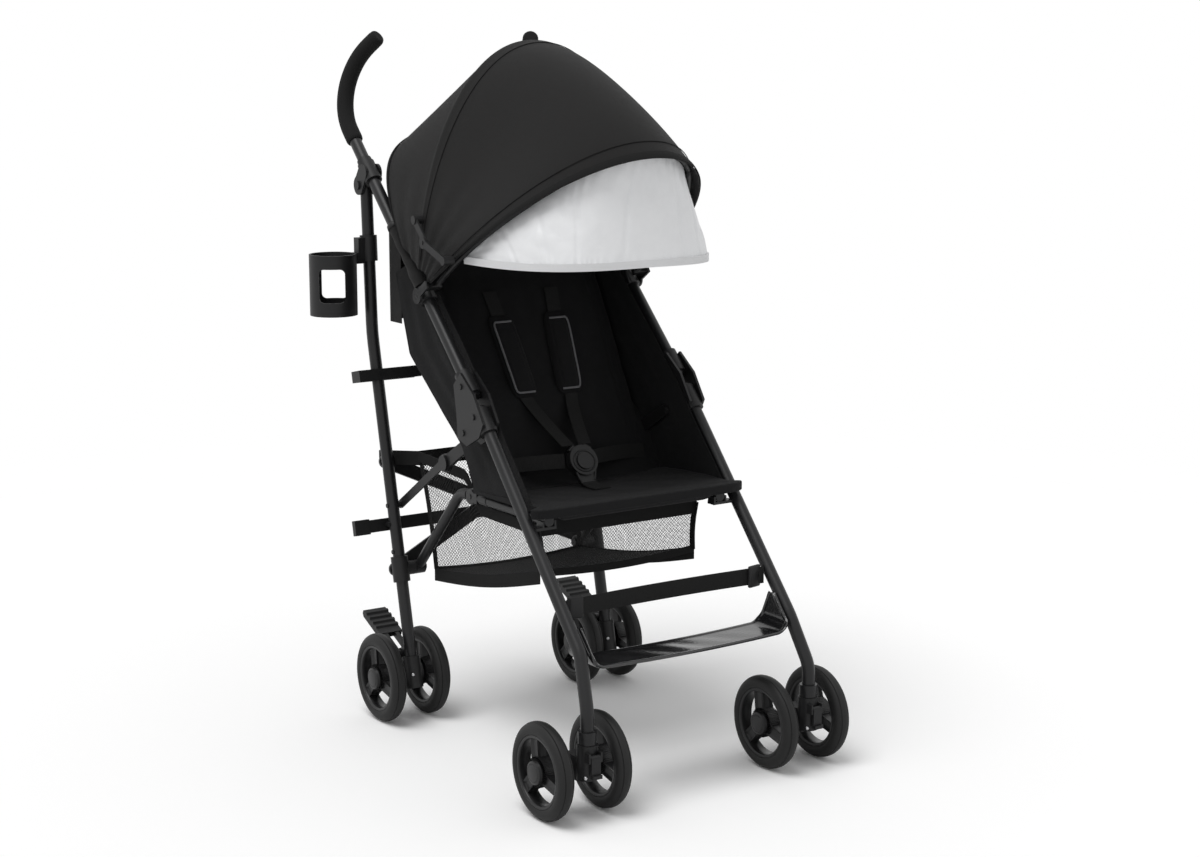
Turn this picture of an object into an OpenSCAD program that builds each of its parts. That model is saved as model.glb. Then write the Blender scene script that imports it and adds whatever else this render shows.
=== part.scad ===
// Umbrella stroller, open. Millimetres, +Z up, the seat faces -Y, the child's right is -X.

/* [Wheels] */
// wheel radius
wheel_r = 70; // [55:1:90]
// tyre width
wheel_w = 25; // [18:1:34]
// axle radius
axle_r = 4; // [3:0.5:6]
// spacing of the two wheels of a front pair
front_pair = 95; // [84:1:120]
// spacing of the two wheels of a rear pair
rear_pair = 78; // [76:1:100]

/* [Stance] */
// side frame plane, measured from the middle
side_x = 184; // [170:1:210]
// front swivel axis, measured from the middle
castor_x = 194.5; // [184:0.5:215]
// front axle position along Y
front_axle_y = -270; // [-300:1:-240]
// front to rear axle
wheelbase = 511; // [480:1:540]
// how far the front axle trails its swivel axis
castor_trail = 39; // [28:1:50]

/* [Tubes] */
// frame tube radius
tube_r = 9.5; // [8:0.5:11]
// seat tube radius
rail_r = 8; // [6:0.5:8]
// canopy bow radius
wire_r = 4; // [2:0.5:4.5]
// pivot pin radius
pin_r = 4; // [3:0.5:4.5]
// wall of the moulded sleeves
sleeve_w = 4; // [3:0.5:4.5]

/* [Frame points] */
// middle of the knuckle, Y
knuckle_y = 0; // [-15:1:15]
// middle of the knuckle, Z
knuckle_z = 541; // [525:1:560]
// lower end of the grip, Y
grip_low_y = 369; // [350:1:390]
// lower end of the grip, Z
grip_low_z = 904; // [890:1:920]
// rear leg pivot, Y
rear_top_y = 336; // [330:1:342]
// rear leg pivot, Z
rear_top_z = 838; // [832:1:842]
// bend of the rear leg, Z
rear_bend_z = 607; // [600:1:630]

/* [Handle] */
// foam grip radius
grip_r = 13.2; // [11:0.1:16]
// bend radius of the grip
grip_bend = 93; // [80:1:110]
// turn of the grip
grip_turn = 94; // [80:1:110]

/* [Seat] */
// half width of the seat back
back_half = 156; // [130:1:157]
// thickness of the seat back
back_t = 26; // [18:1:34]
// half width of the seat base over its rails
base_half = 170; // [160:1:172]
// seat tube plane, measured from the middle
rail_x = 151.5; // [149:0.5:151.5]

/* [Canopy] */
// half width of the canopy
canopy_half = 199; // [197:1:206]
// reach of the front bow
front_reach = 402; // [385:1:415]
// height of the rear bow over its pivot
rear_reach = 378; // [365:1:390]
// reach of the canopy's rear edge
edge_reach = 290; // [275:1:300]
// cloth thickness
cloth_t = 3; // [2:0.5:4]

/* [Cup holder] */
// cup holder radius
cup_r = 37; // [34:1:44]
// cup holder height
cup_h = 95; // [80:1:125]
// cup holder wall
cup_wall = 3; // [2:0.5:4]

/* [Clearances] */
// running fit, radial
fit = 0.05; // [0.02:0.01:0.1]
// gap where cloth hangs on or rests against a piece
hang = 0.4; // [0.3:0.1:0.6]
// gap between faces that slide past each other
gap = 0.5; // [0.3:0.1:0.8]

/* [Hidden] */
$fn = 40;

frame_c = [0.2, 0.2, 0.21];
plastic_c = [0.1, 0.1, 0.11];
rubber_c = [0.07, 0.07, 0.07];
cloth_c = [0.06, 0.06, 0.07];
pale_c = [0.85, 0.86, 0.88];

rear_axle_y = front_axle_y + wheelbase;
castor_y = front_axle_y - castor_trail;
K = [-side_x, knuckle_y, knuckle_z];
G = [-side_x, grip_low_y, grip_low_z];
R0 = [-side_x, rear_top_y, rear_top_z];
pd = (G - K) / norm(G - K);
leg_bend = [-side_x, -276, 229];
ld = (leg_bend - K) / norm(leg_bend - K);
rear_bend = [-side_x, rear_axle_y + 84, rear_bend_z];
rear_low = [-side_x, rear_axle_y - 35, wheel_r - 4];
re = (rear_bend - rear_low) / norm(rear_bend - rear_low);
// rearward normal of the rear legs
rn = [0, re[2], -re[1]];
function on_rear(z) = rear_low + re * ((z - rear_low[2]) / re[2]);
x_pivot = on_rear(240);
lock_pivot = on_rear(310);
brace_pivot = on_rear(339);
latch_pivot = on_rear(541);
bracket_mid = K + pd * (norm(G - K) * 0.873);
elbow_pt = [0, 128, 428];
knuckle_pin = [0, knuckle_y + 20, knuckle_z - 49];
link_bend = [-rail_x, 106, 385];
rail_pin = [-rail_x, 66, 386];
rail_end = [-rail_x, -146, 388];
canopy_pivot = K + pd * (norm(G - K) * 0.394);
cup_c = [-side_x - cup_r - 26, 331, 639];
cup_rim = 20;
bow_half = side_x - 4;
bow_side = 500;
bow_turn = 34;
back_top = 858;
bight = [0, 50, 403];
back_rod = rail_x - rail_r - 5.5;
leg_in = side_x - tube_r;
bar_x0 = leg_in - 3;
bar_x1 = bar_x0 - 3.5;
plate_x1 = bar_x1 - gap - 7;
canopy_out = canopy_half + 4;
g_n = [0.354, -0.66, 0.663];
g_u = (g_n - pd * (g_n * pd)) / norm(g_n - pd * (g_n * pd));
grip_a = G + pd * 23;
grip_corner = grip_a + pd * (grip_bend * tan(grip_turn / 2));
grip_tip = grip_corner + (pd * cos(grip_turn) + g_u * sin(grip_turn)) * (grip_bend * tan(grip_turn / 2) + 25);
function grip_y(t) = grip_a[1] + grip_bend * (sin(t) * pd[1] + (1 - cos(t)) * g_u[1]);
y_max = grip_y(47) + grip_r + 0.1;
y_min = front_axle_y - wheel_r;
x_min = cup_c[0] - cup_r;
x_max = castor_x + front_pair / 2 + wheel_w / 2;
off = [-(x_min + x_max) / 2, -(y_min + y_max) / 2, 0];

function unit(v) = v / norm(v);
function turn(a, b) = acos(min(1, max(-1, a * b)));
function seg(p, i) = unit(p[i + 1] - p[i]);

// a point of the left side, or its twin on the right side
function on(s, p) = [-s * p[0], p[1], p[2]];
function all_on(s, path) = [for (p = path) on(s, p)];

module at() translate(off) children();
module flip(s) mirror([s > 0 ? 1 : 0, 0, 0]) children();

// straight round bar between two points
module rod(p, q, r) {
  d = q - p;
  translate(p)
    rotate([0, acos(d[2] / norm(d)), atan2(d[1], d[0])])
      cylinder(h = norm(d), r = r);
}

// round bar along X at a point of the side view
module pin(x0, x1, p, r) rod([min(x0, x1), p[1], p[2]], [max(x0, x1), p[1], p[2]], r);

// points along a path with its corners rounded to radius rb
function fillet(p, rb, k) = concat([p[0]], [for (i = [1 : len(p) - 2]) for (q = [0 : k])
  let (d1 = seg(p, i - 1), d2 = seg(p, i), w = turn(d1, d2), c = p[i] + unit(d2 - d1) * (rb / cos(w / 2)),
    e = unit(p[i] - d1 * rb * tan(w / 2) - c))
  c + (e * cos(w * q / k) + d1 * sin(w * q / k)) * rb], [p[len(p) - 1]]);

// tube along points with round bends
module bent(p, rb, r, k = 5) {
  f = fillet(p, rb, k);
  for (i = [0 : len(f) - 2])
    rod(f[i], f[i + 1], r);
  for (i = [1 : len(f) - 2])
    translate(f[i])
      sphere(r / cos(turn(seg(f, i - 1), seg(f, i)) / 2) + 0.06);
}

// pin of the left side, or its twin on the right side
module pin_on(s, x0, x1, p, r) pin(-s * x0, -s * x1, p, r);

// flat plate in the side view, from x0 to x1
module side_plate(x0, x1)
  translate([x0, 0, 0])
    multmatrix([[0, 0, 1, 0], [1, 0, 0, 0], [0, 1, 0, 0]])
      linear_extrude(x1 - x0)
        children();

// flat link in the side view with round ends
module link(x0, x1, p, q, w) {
  d = [q[1] - p[1], q[2] - p[2]];
  side_plate(x0, x1)
    union() {
      translate([p[1], p[2]]) rotate(atan2(d[1], d[0])) translate([0, -w / 2]) square([norm(d), w]);
      translate([p[1], p[2]]) circle(w / 2);
      translate([q[1], q[2]]) circle(w / 2);
    }
}

// frame of the rear legs: X, up along the leg, and forward
module rear_plane(p)
  translate([0, p[1], p[2]])
    multmatrix([[1, 0, 0, 0], [0, re[1], -re[2], 0], [0, re[2], re[1], 0]])
      children();

// closed sheet between two grids of points
module slab(f, b) {
  n = len(f);
  m = len(f[0]);
  o = n * m;
  function id(i, j) = i * m + j;
  pts = concat([for (r = f) for (q = r) q], [for (r = b) for (q = r) q]);
  front = [for (i = [0 : n - 2]) for (j = [0 : m - 2]) for (k = [0, 1])
    k == 0 ? [id(i, j), id(i + 1, j + 1), id(i + 1, j)] : [id(i, j), id(i, j + 1), id(i + 1, j + 1)]];
  back = [for (t = front) [t[0] + o, t[2] + o, t[1] + o]];
  e1 = [for (i = [0 : n - 2]) for (k = [0, 1])
    k == 0 ? [id(i, 0), id(i + 1, 0), id(i + 1, 0) + o] : [id(i, 0), id(i + 1, 0) + o, id(i, 0) + o]];
  e2 = [for (i = [0 : n - 2]) for (k = [0, 1])
    k == 0 ? [id(i, m - 1), id(i + 1, m - 1) + o, id(i + 1, m - 1)]
      : [id(i, m - 1), id(i, m - 1) + o, id(i + 1, m - 1) + o]];
  e3 = [for (j = [0 : m - 2]) for (k = [0, 1])
    k == 0 ? [id(0, j), id(0, j + 1) + o, id(0, j + 1)] : [id(0, j), id(0, j) + o, id(0, j + 1) + o]];
  e4 = [for (j = [0 : m - 2]) for (k = [0, 1])
    k == 0 ? [id(n - 1, j), id(n - 1, j + 1), id(n - 1, j + 1) + o]
      : [id(n - 1, j), id(n - 1, j + 1) + o, id(n - 1, j) + o]];
  polyhedron(points = pts, faces = concat(front, back, e1, e2, e3, e4), convexity = 6);
}

module push_tube(s) at() flip(s) color(frame_c)
  rod(K + pd * 9, G + pd * 46, tube_r);

module grip(s) at() color(rubber_c)
  difference() {
    bent(all_on(s, [G, grip_corner, grip_tip]), grip_bend, grip_r, 8);
    rod(on(s, G - pd * 5), on(s, G + pd * 47), tube_r + fit);
  }

module upper_bracket(s) at() flip(s) color(plastic_c)
  difference() {
    union() {
      rod(bracket_mid - pd * 18, bracket_mid + pd * 18, tube_r + sleeve_w);
      rod(bracket_mid + pd * 17, bracket_mid + pd * 26, tube_r + 2);
      for (x = [-side_x - tube_r - gap - 4, -side_x + tube_r + gap])
        side_plate(x, x + 4)
          union() {
            translate([R0[1], R0[2]]) circle(15);
            translate([bracket_mid[1], bracket_mid[2]]) circle(tube_r + sleeve_w);
            polygon([[R0[1] + 15, R0[2] + 2], [bracket_mid[1] + 10, bracket_mid[2] + 9],
              [bracket_mid[1] - 10, bracket_mid[2] - 9], [R0[1] - 14, R0[2] - 5]]);
          }
      pin(-side_x - tube_r - 7, -side_x + tube_r + 7, R0, pin_r);
      pin(-side_x - tube_r - 7.5, -side_x - tube_r - 4, R0, 7);
    }
    rod(bracket_mid - pd * 60, bracket_mid + pd * 60, tube_r + fit);
  }

module knuckle(s) at() flip(s) color(plastic_c)
  difference() {
    union() {
      rod(K + pd * 14, K + pd * 54, tube_r + sleeve_w);
      rod(K + ld * 14, K + ld * 54, tube_r + sleeve_w);
      for (x = [-side_x - tube_r - gap - 4.5, -side_x + tube_r + gap])
        side_plate(x, x + 4)
          translate([K[1], K[2]])
            polygon([[43, 22], [23, 42], [-14, 15], [-41, -25], [-30, -46], [6, -64], [32, -56], [35, -20]]);
      for (q = [[22, 22], [-14, -18], [16, -46]])
        pin(-side_x - tube_r - 7, -side_x - tube_r - 3, [0, K[1] + q[0], K[2] + q[1]], 4.5);
    }
    rod(K, K + pd * 80, tube_r + fit);
    rod(K, K + ld * 80, tube_r + fit);
  }

module front_leg(s) at() color(frame_c)
  union() {
    bent(all_on(s, [K + ld * 10, leg_bend, [-castor_x, castor_y, 158], [-castor_x, castor_y, 116]]), 60, tube_r);
    translate(on(s, [-castor_x, castor_y, 112])) cylinder(h = 18, r = 13);
    translate(on(s, [-castor_x, castor_y, 84])) cylinder(h = 30, r = 5);
    flip(s) {
      translate([-leg_in - 3, rail_end[1], rail_end[2] - rail_r - gap - 4])
        cube([leg_in + 3 - (rail_x - rail_r - 4), 16, 4]);
      for (x = [-rail_x - rail_r - gap - 3, -rail_x + rail_r + gap])
        translate([x, rail_end[1], rail_end[2] - rail_r - gap - 4]) cube([3, 16, rail_r + 4.5]);
    }
  }

module castor(s) at() flip(s) color(plastic_c)
  translate([-castor_x, 0, 0])
    difference() {
      union() {
        translate([0, castor_y, 62]) cylinder(h = 112 - gap - 62, r = 15);
        translate([-12, castor_y, 58]) cube([24, castor_trail, 34]);
        pin(-front_pair / 2 + wheel_w / 2 + 1, front_pair / 2 - wheel_w / 2 - 1, [0, front_axle_y, wheel_r], 13);
        pin(-front_pair / 2 - wheel_w / 2 - 4, front_pair / 2 + wheel_w / 2 + 4, [0, front_axle_y, wheel_r],
          axle_r - fit);
        for (x = [-11, 8]) translate([x, castor_y - 22, 90]) cube([3, 14, 14]);
        pin(-11, 11, [0, castor_y - 19, 97], 2.5);
      }
      translate([0, castor_y, 83]) cylinder(h = 60, r = 5 + fit);
    }

module swivel_lock(s) at() flip(s) color(plastic_c)
  translate([-castor_x, 0, 0])
    difference() {
      union() {
        pin(-7.5, 7.5, [0, castor_y - 19, 97], 3.6);
        translate([-7.5, castor_y - 23, 70]) cube([15, 5, 27]);
        translate([-7.5, castor_y - 27, 68]) cube([15, 9, 5]);
      }
      pin(-20, 20, [0, castor_y - 19, 97], 2.5 + fit);
    }

// wheel with its tyre, spokes and hub, spinning about X
module wheel(x, y) at() color(rubber_c)
  translate([x, y, wheel_r])
    rotate([0, 90, 0])
      difference() {
        union() {
          rotate_extrude() {
            translate([wheel_r - wheel_w / 2, 0]) circle(wheel_w / 2);
            translate([wheel_r - wheel_w / 2 - 14, -wheel_w / 2 + 2.5]) square([14, wheel_w - 5]);
          }
          for (a = [30, 150, 270])
            rotate([0, 0, a])
              translate([6, -7, -6])
                cube([wheel_r - wheel_w / 2 - 16, 14, 12]);
          translate([0, 0, -wheel_w / 2]) cylinder(h = wheel_w, r = 14);
        }
        translate([0, 0, -40]) cylinder(h = 80, r = axle_r);
      }

module rear_leg(s) at() color(frame_c)
  difference() {
    union() {
      bent(all_on(s, [R0, rear_bend, rear_low]), 200, tube_r, 2);
      pin_on(s, -side_x - tube_r - 0.1, -side_x + tube_r + 0.1, R0, tube_r + 0.1);
      rod(on(s, lock_pivot), on(s, lock_pivot + rn * (tube_r + 23.5)), pin_r);
      rod(on(s, lock_pivot + rn * (tube_r + 23.2)), on(s, lock_pivot + rn * (tube_r + 27)), 7);
      pin_on(s, -side_x, -bar_x1 - 0.4, brace_pivot, pin_r);
      for (q = [brace_pivot, lock_pivot, x_pivot + re * 28])
        pin_on(s, -side_x - tube_r - 1.5, -side_x, q, 3.5);
      if (s < 0) rod(latch_pivot - rn * (tube_r + 4.3), latch_pivot + rn * (tube_r + 4.3), 3);
    }
    pin_on(s, -side_x - 30, -side_x + 30, R0, pin_r + fit);
  }

module rear_housing(s) at() flip(s) color(plastic_c)
  difference() {
    union() {
      rod(rear_low - re * 10, rear_low + re * 40, tube_r + sleeve_w + 0.5);
      translate([-side_x - 9, rear_low[1], wheel_r - 12]) cube([18, rear_axle_y - rear_low[1], 30]);
      pin(-side_x - rear_pair / 2 + wheel_w / 2 + 1, -side_x + rear_pair / 2 - wheel_w / 2 - 1,
        [0, rear_axle_y, wheel_r], 13);
      pin(-side_x - rear_pair / 2 - wheel_w / 2 - 4, -side_x + rear_pair / 2 + wheel_w / 2 + 4,
        [0, rear_axle_y, wheel_r], axle_r - fit);
      translate([-side_x - pedal_in, rear_axle_y - 12, wheel_r]) cube([2 * pedal_in, 18, 34]);
      pin(-side_x - pedal_in, -side_x + pedal_in, [0, rear_axle_y - 3, wheel_r + 34], 9);
      pin(-side_x - 15, -side_x + 15, [0, rear_axle_y - 3, wheel_r + 34], 3);
      rod(x_pivot - re * 20, x_pivot + re * 20, tube_r + sleeve_w);
      pin(-leg_in - 2, -rail_x - rail_r - gap - 0.3, x_pivot, 11);
      pin(-leg_in, -rail_x + rail_r + 1, x_pivot, pin_r);
      pin(-rail_x + rail_r + 0.6, -rail_x + rail_r + 3, x_pivot, 7);
      rod(x_pivot + rn * 8, x_pivot + rn * (s < 0 ? 20 : 26), pin_r);
      rod(x_pivot + rn * (s < 0 ? 19.9 : 25.9), x_pivot + rn * (s < 0 ? 25 : 31), 8);
    }
    rod(rear_low, rear_low + re * 300, tube_r + fit);
  }

// foot brake: two arms on the pivot and a ribbed pad, drawn along its own slope
pedal_in = 6;
pedal_out = 13;
module brake_pedal(s) at() flip(s) color(plastic_c)
  translate([-side_x, rear_axle_y - 3, wheel_r + 34])
    rotate([24, 0, 0])
      difference() {
        union() {
          for (x = [-pedal_out, pedal_in + gap])
            side_plate(x, x + pedal_out - pedal_in - gap)
              union() {
                circle(7);
                translate([0, -4.6]) square([60, 9.2]);
              }
          side_plate(-20, 20)
            polygon(concat([[48, -4], [106, -4], [111, 0], [111, 5.4]],
              [for (k = [3 : -1 : 0]) for (q = [[8, 5.4], [6, 8.2], [2, 8.2], [0, 5.4]])
                [62 + k * 12 + q[0], q[1]]],
              [[48, 5.4]]));
        }
        pin(-30, 30, [0, 0, 0], 3 + fit);
      }

module cup_window()
  rotate([90, 0, 90])
    linear_extrude(cup_r + 6)
      union() {
        translate([-12, 22]) square([24, 52]);
        translate([-20, 30]) square([40, 36]);
        for (x = [-12, 12], z = [30, 66]) translate([x, z]) circle(8);
      }

module cup_holder() at() color(plastic_c)
  difference() {
    union() {
      translate(cup_c) cylinder(h = cup_h, r = cup_r);
      rod(R0 - [0, 4.67, 98] - [0, 1, 20], R0 - [0, 4.67, 98] + [0, 1, 20], tube_r + sleeve_w);
      translate([cup_c[0] + cup_r - 8, cup_c[1] - 8, cup_c[2] + cup_h - 17]) cube([20, 16, 17]);
      translate([-side_x - 22, cup_c[1] - 8, cup_c[2] + cup_h - 17]) cube([12, 16, 40]);
    }
    translate(cup_c + [0, 0, cup_h - cup_rim - 2]) cylinder(h = cup_rim + 8, r = cup_r - cup_wall);
    translate(cup_c + [0, 0, 4]) cylinder(h = cup_h - cup_rim - 4, r = cup_r - cup_wall + 1);
    for (a = [60, 240])
      translate(cup_c)
        rotate([0, 0, a])
          cup_window();
    rod(R0, rear_bend, tube_r + fit);
  }

module storage_latch() at() color(plastic_c)
  rear_plane(latch_pivot)
    difference() {
      union() {
        for (z = [-tube_r - 4, tube_r + 1]) translate([-side_x - 35, -9, z]) cube([106, 18, 3]);
        translate([-side_x - 38, -9, -tube_r - 4]) cube([4, 18, 2 * tube_r + 8]);
      }
      translate([-side_x, 0, -60]) cylinder(h = 120, r = 3 + fit);
    }

module link_tube(s) at() color(frame_c)
  difference() {
    union() {
      bent(all_on(s, [[-rail_x, x_pivot[1], x_pivot[2]], link_bend, rail_pin + [0, 15, 0]]), 40, rail_r);
      pin_on(s, -rail_x - rail_r, -rail_x + rail_r, x_pivot, 11);
      pin_on(s, -rail_x + gap, -rail_x + rail_r, rail_pin, 12);
      flip(s)
        translate([-rail_x + gap, rail_pin[1], rail_pin[2] - 7.5]) cube([rail_r - gap, 20, 15]);
      pin_on(s, -rail_x - rail_r - 1, -rail_x + 2, rail_pin, pin_r);
    }
    pin_on(s, -rail_x - 40, -rail_x + 40, x_pivot, pin_r + fit);
  }

module seat_rail(s) at() flip(s) color(frame_c)
  difference() {
    union() {
      rod(rail_end, rail_pin + [0, -15, 0], rail_r);
      pin(-rail_x - rail_r, -rail_x - gap, rail_pin, 12);
      translate([-rail_x - rail_r, rail_pin[1] - 20, rail_pin[2] - 8]) cube([rail_r - gap, 20, 16]);
      rod(rail_pin + [0, -46, 0.4], rail_pin + [0, -24, 0.2], rail_r + 0.7);
    }
    pin(-rail_x - 40, -rail_x + 40, rail_pin, pin_r + fit);
  }

module brace_lower(s) at() flip(s) color(frame_c)
  difference() {
    union() {
      link(-bar_x0, -bar_x1, brace_pivot, elbow_pt, 13);
      pin(-bar_x0, -bar_x1, elbow_pt, 12);
      pin(-bar_x0, -plate_x1, elbow_pt, pin_r);
    }
    pin(-side_x, -100, brace_pivot, pin_r + fit);
  }

module brace_upper(s) at() flip(s) color(plastic_c)
  difference() {
    union() {
      link(-bar_x1 + gap, -plate_x1, elbow_pt, knuckle_pin, 19);
      pin(-bar_x1 + gap, -plate_x1, elbow_pt, 14);
    }
    pin(-side_x, -100, elbow_pt, pin_r + fit);
  }

// flat bar of the rear cross, from its own leg to the other one
module x_bar(s) {
  z0 = s < 0 ? 14.5 : 20.5;
  run = [side_x * 2 - 8, 171];
  at() flip(s) color(frame_c)
    rear_plane(x_pivot)
      translate([-side_x, 0, -z0 - 5])
        rotate([0, 0, atan2(run[1], run[0])])
          difference() {
            union() {
              translate([0, -11, 0]) cube([norm(run), 22, 5]);
              cylinder(h = 5, r = 11);
              translate([norm(run), 0, 0]) cylinder(h = 5, r = 11);
              translate([norm(run), 0, -5]) cylinder(h = 6, r = 8);
            }
            translate([0, 0, -10]) cylinder(h = 30, r = pin_r + fit);
          }
}

// half of the fold lock bar, the left one with its foot pedal
module lock_bar(s) {
  z0 = s < 0 ? 26.8 : 27 + 5 + gap;
  out = s < 0 ? 54 : 12;
  at() flip(s) color(frame_c)
    rear_plane(lock_pivot)
      translate([-side_x, 0, 0])
        difference() {
          union() {
            translate([-out, -10, s < 0 ? -31.8 : -31.8]) cube([out + 30, 20, 5]);
            translate([20, -10, -z0 - 5]) cube([side_x - 8, 20, 5]);
            if (s > 0) translate([20, -10, -z0 - 5]) cube([10, 20, 10.5]);
            if (s < 0) translate([-out - 4, -12, -34]) cube([26, 24, 9.5]);
            if (s > 0) translate([side_x, 0, -z0 - 8]) cylinder(h = 8, r = 7);
          }
          translate([0, 0, -60]) cylinder(h = 80, r = pin_r + fit);
        }
}

// backrest cushion: crown across, drawn-in edges and quilted channels
function back_y(z) = 100 + (z - 525) * 0.535;
function back_w(z) = back_half - 10 * pow(max(0, (z - 560) / 300), 2);
function crown(u, v) = 9 * (1 - pow(abs(u), 4)) * (1 - pow(abs(v), 6))
  - 3 * exp(-pow((v + 0.35) / 0.06, 2)) - 3 * exp(-pow((v - 0.3) / 0.06, 2));
module seat_back() at() color(cloth_c) {
  nu = 18;
  nv = 18;
  f = [for (i = [0 : nu]) [for (j = [0 : nv])
    let (u = -1 + 2 * i / nu, v = -1 + 2 * j / nv, z = 402 + (back_top - 402) * j / nv)
    [u * back_w(z) * (1 - 0.02 * pow(v, 6)), back_y(z) + 8 - crown(u, v), z]]];
  b = [for (i = [0 : nu]) [for (j = [0 : nv])
    let (u = -1 + 2 * i / nu, v = -1 + 2 * j / nv, z = 402 + (back_top - 402) * j / nv)
    [u * back_w(z) * (1 - 0.02 * pow(v, 6)), back_y(z) + 14 + (back_t - 14) * (1 - pow(u, 6)), z]]];
  slab(f, b);
  pin(-back_rod, back_rod, bight, 5);
}

// seat cushion on its two rails, with a rolled front hem
function base_z(u, y) = let (t = (y + 166) / 190)
  411 - 8 * t + 3 * sin(180 * t) - 9 * (1 - pow(abs(u), 3)) * min(1, t * 3) - (y < -164 ? 5 : 0);
function base_w(y) = base_half + (y < -142 ? min(20, (-142 - y) * 2.2) : 0);
module seat_base() at() color(cloth_c) {
  xs = [-1, -0.93, -0.86, -0.82, -0.77, -0.6, -0.45, -0.3, -0.15, 0, 0.15, 0.3, 0.45, 0.6, 0.77, 0.82, 0.86,
    0.93, 1];
  ys = [-166, -160, -152, -143, -141, -120, -95, -70, -45, -20, 5, 24, 41.8];
  f = [for (u = xs) [for (y = ys) [u * base_w(y), y, base_z(u, y)]]];
  b = [for (u = xs) [for (y = ys)
    let (t = (y + 166) / 190)
    [u * base_w(y), y, y < -150 ? 393 + (y + 166) * 0.3 : abs(u) > 0.78 ? 398.8 : 385 - 3 * t]]];
  slab(f, b);
}

// canopy: arches that fan out about the side pivots
function arch(w, r, t, p) =
  [w * sign(cos(t)) * pow(abs(cos(t)), 2 / p), r * pow(abs(sin(t)), 2 / p)];
function fan(a, x, r) = [x, canopy_pivot[1] - r * cos(a), canopy_pivot[2] + r * sin(a)];
a_front = 32.5;
a_top = 88.5;
a_rear = 126;
round_p = 2.1;
edge_p = 4;
function reach(a) = let (k = (a - a_front) / (a_top - a_front))
  front_reach + (rear_reach - front_reach) * k - 9 * sin(180 * k);
side_t = [5.4, 11, 17, 24, 32, 40, 48, 56, 64, 71, 77, 82, 86];
arch_t = concat([for (t = side_t) 180 - t], [90], [for (i = [1 : len(side_t)]) side_t[len(side_t) - i]]);

// a point of the cloth, d under its outer face; k runs 0 to 1 from the rear bow to the rear edge
function front_cloth(t, a, d) = let (q = arch(canopy_half - d, reach(a) - d, t, round_p))
  fan(a, q[0], q[1] + d / 3);
function edge_cloth(t, d) = let (q = arch(canopy_half - d, edge_reach - d, t, edge_p))
  fan(a_rear, q[0], q[1] + d / 3);
function rear_cloth(t, k, d) = front_cloth(t, a_top, d) * (1 - k) + edge_cloth(t, d) * k;
function canopy_skin(d) = [for (t = arch_t)
  concat([for (a = [a_front, 38, 44, 50, 56, 63, 70, 77, 83, a_top]) front_cloth(t, a, d)],
    [for (k = [0.2, 0.4, 0.6, 0.8, 1]) rear_cloth(t, k, d)])];
module canopy_fabric() at() color(cloth_c)
  slab(canopy_skin(0), canopy_skin(cloth_t));

// wire bow in a plane through the pivots: straight legs, two wide side arcs and a top arc
function top_bend(w) = (w - bow_side * (1 - cos(bow_turn))) / cos(bow_turn);
function leg_end(w, r) = r - top_bend(w) * (1 - sin(bow_turn)) - bow_side * sin(bow_turn);
module wire_arc(rb, r, from, angle)
  rotate([0, 0, from])
    rotate_extrude(angle = angle)
      translate([rb, 0])
        circle(r);
module bow(a, w, r0, r)
  translate([0, canopy_pivot[1], canopy_pivot[2]])
    rotate([180 - a, 0, 0]) {
      for (x = [-w, w])
        rod([x, r0, 0], [x, leg_end(w, r) + 2, 0], wire_r);
      translate([w - bow_side, leg_end(w, r), 0]) wire_arc(bow_side, wire_r + 0.06, 0, bow_turn);
      translate([bow_side - w, leg_end(w, r), 0])
        wire_arc(bow_side, wire_r + 0.06, 180 - bow_turn, bow_turn);
      translate([0, r - top_bend(w), 0])
        wire_arc(top_bend(w), wire_r, bow_turn - 1, 182 - 2 * bow_turn);
    }

module canopy_rear_bow() at() color(plastic_c)
  difference() {
    union() {
      bow(a_top, bow_half, 12, rear_reach - cloth_t * 2 / 3 - wire_r * 1.28 - 0.95);
      for (s = [-1, 1])
        flip(s) {
          rod(canopy_pivot - pd * 12, canopy_pivot + pd * 12, tube_r + sleeve_w);
          pin(-canopy_half - 3, -side_x - 11, canopy_pivot, pin_r);
        }
    }
    for (s = [-1, 1])
      flip(s)
        rod(canopy_pivot - pd * 40, canopy_pivot + pd * 40, tube_r + fit);
  }

a_bow = a_front + 1.8;
bow_reach = front_reach - cloth_t - wire_r - 4;
module canopy_front_bow() at() color(plastic_c) {
  bow(a_bow, bow_half, 28, bow_reach);
  pin(-6, 6, fan(a_bow, 0, bow_reach), wire_r + 0.6);
  for (s = [-1, 1])
    flip(s) {
      side_plate(-canopy_half - 3, -canopy_half + 0.6)
        translate([canopy_pivot[1], canopy_pivot[2]])
          difference() {
            union() {
              circle(12);
              rotate(180 - a_bow) translate([0, -6]) square([36, 12]);
            }
            circle(pin_r + fit);
          }
      translate([-canopy_half - 2, canopy_pivot[1], canopy_pivot[2]])
        rotate([-a_bow, 0, 0])
          translate([0, -35, -5])
            cube([canopy_half - bow_half + 7.5, 10, 10]);
    }
}

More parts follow.
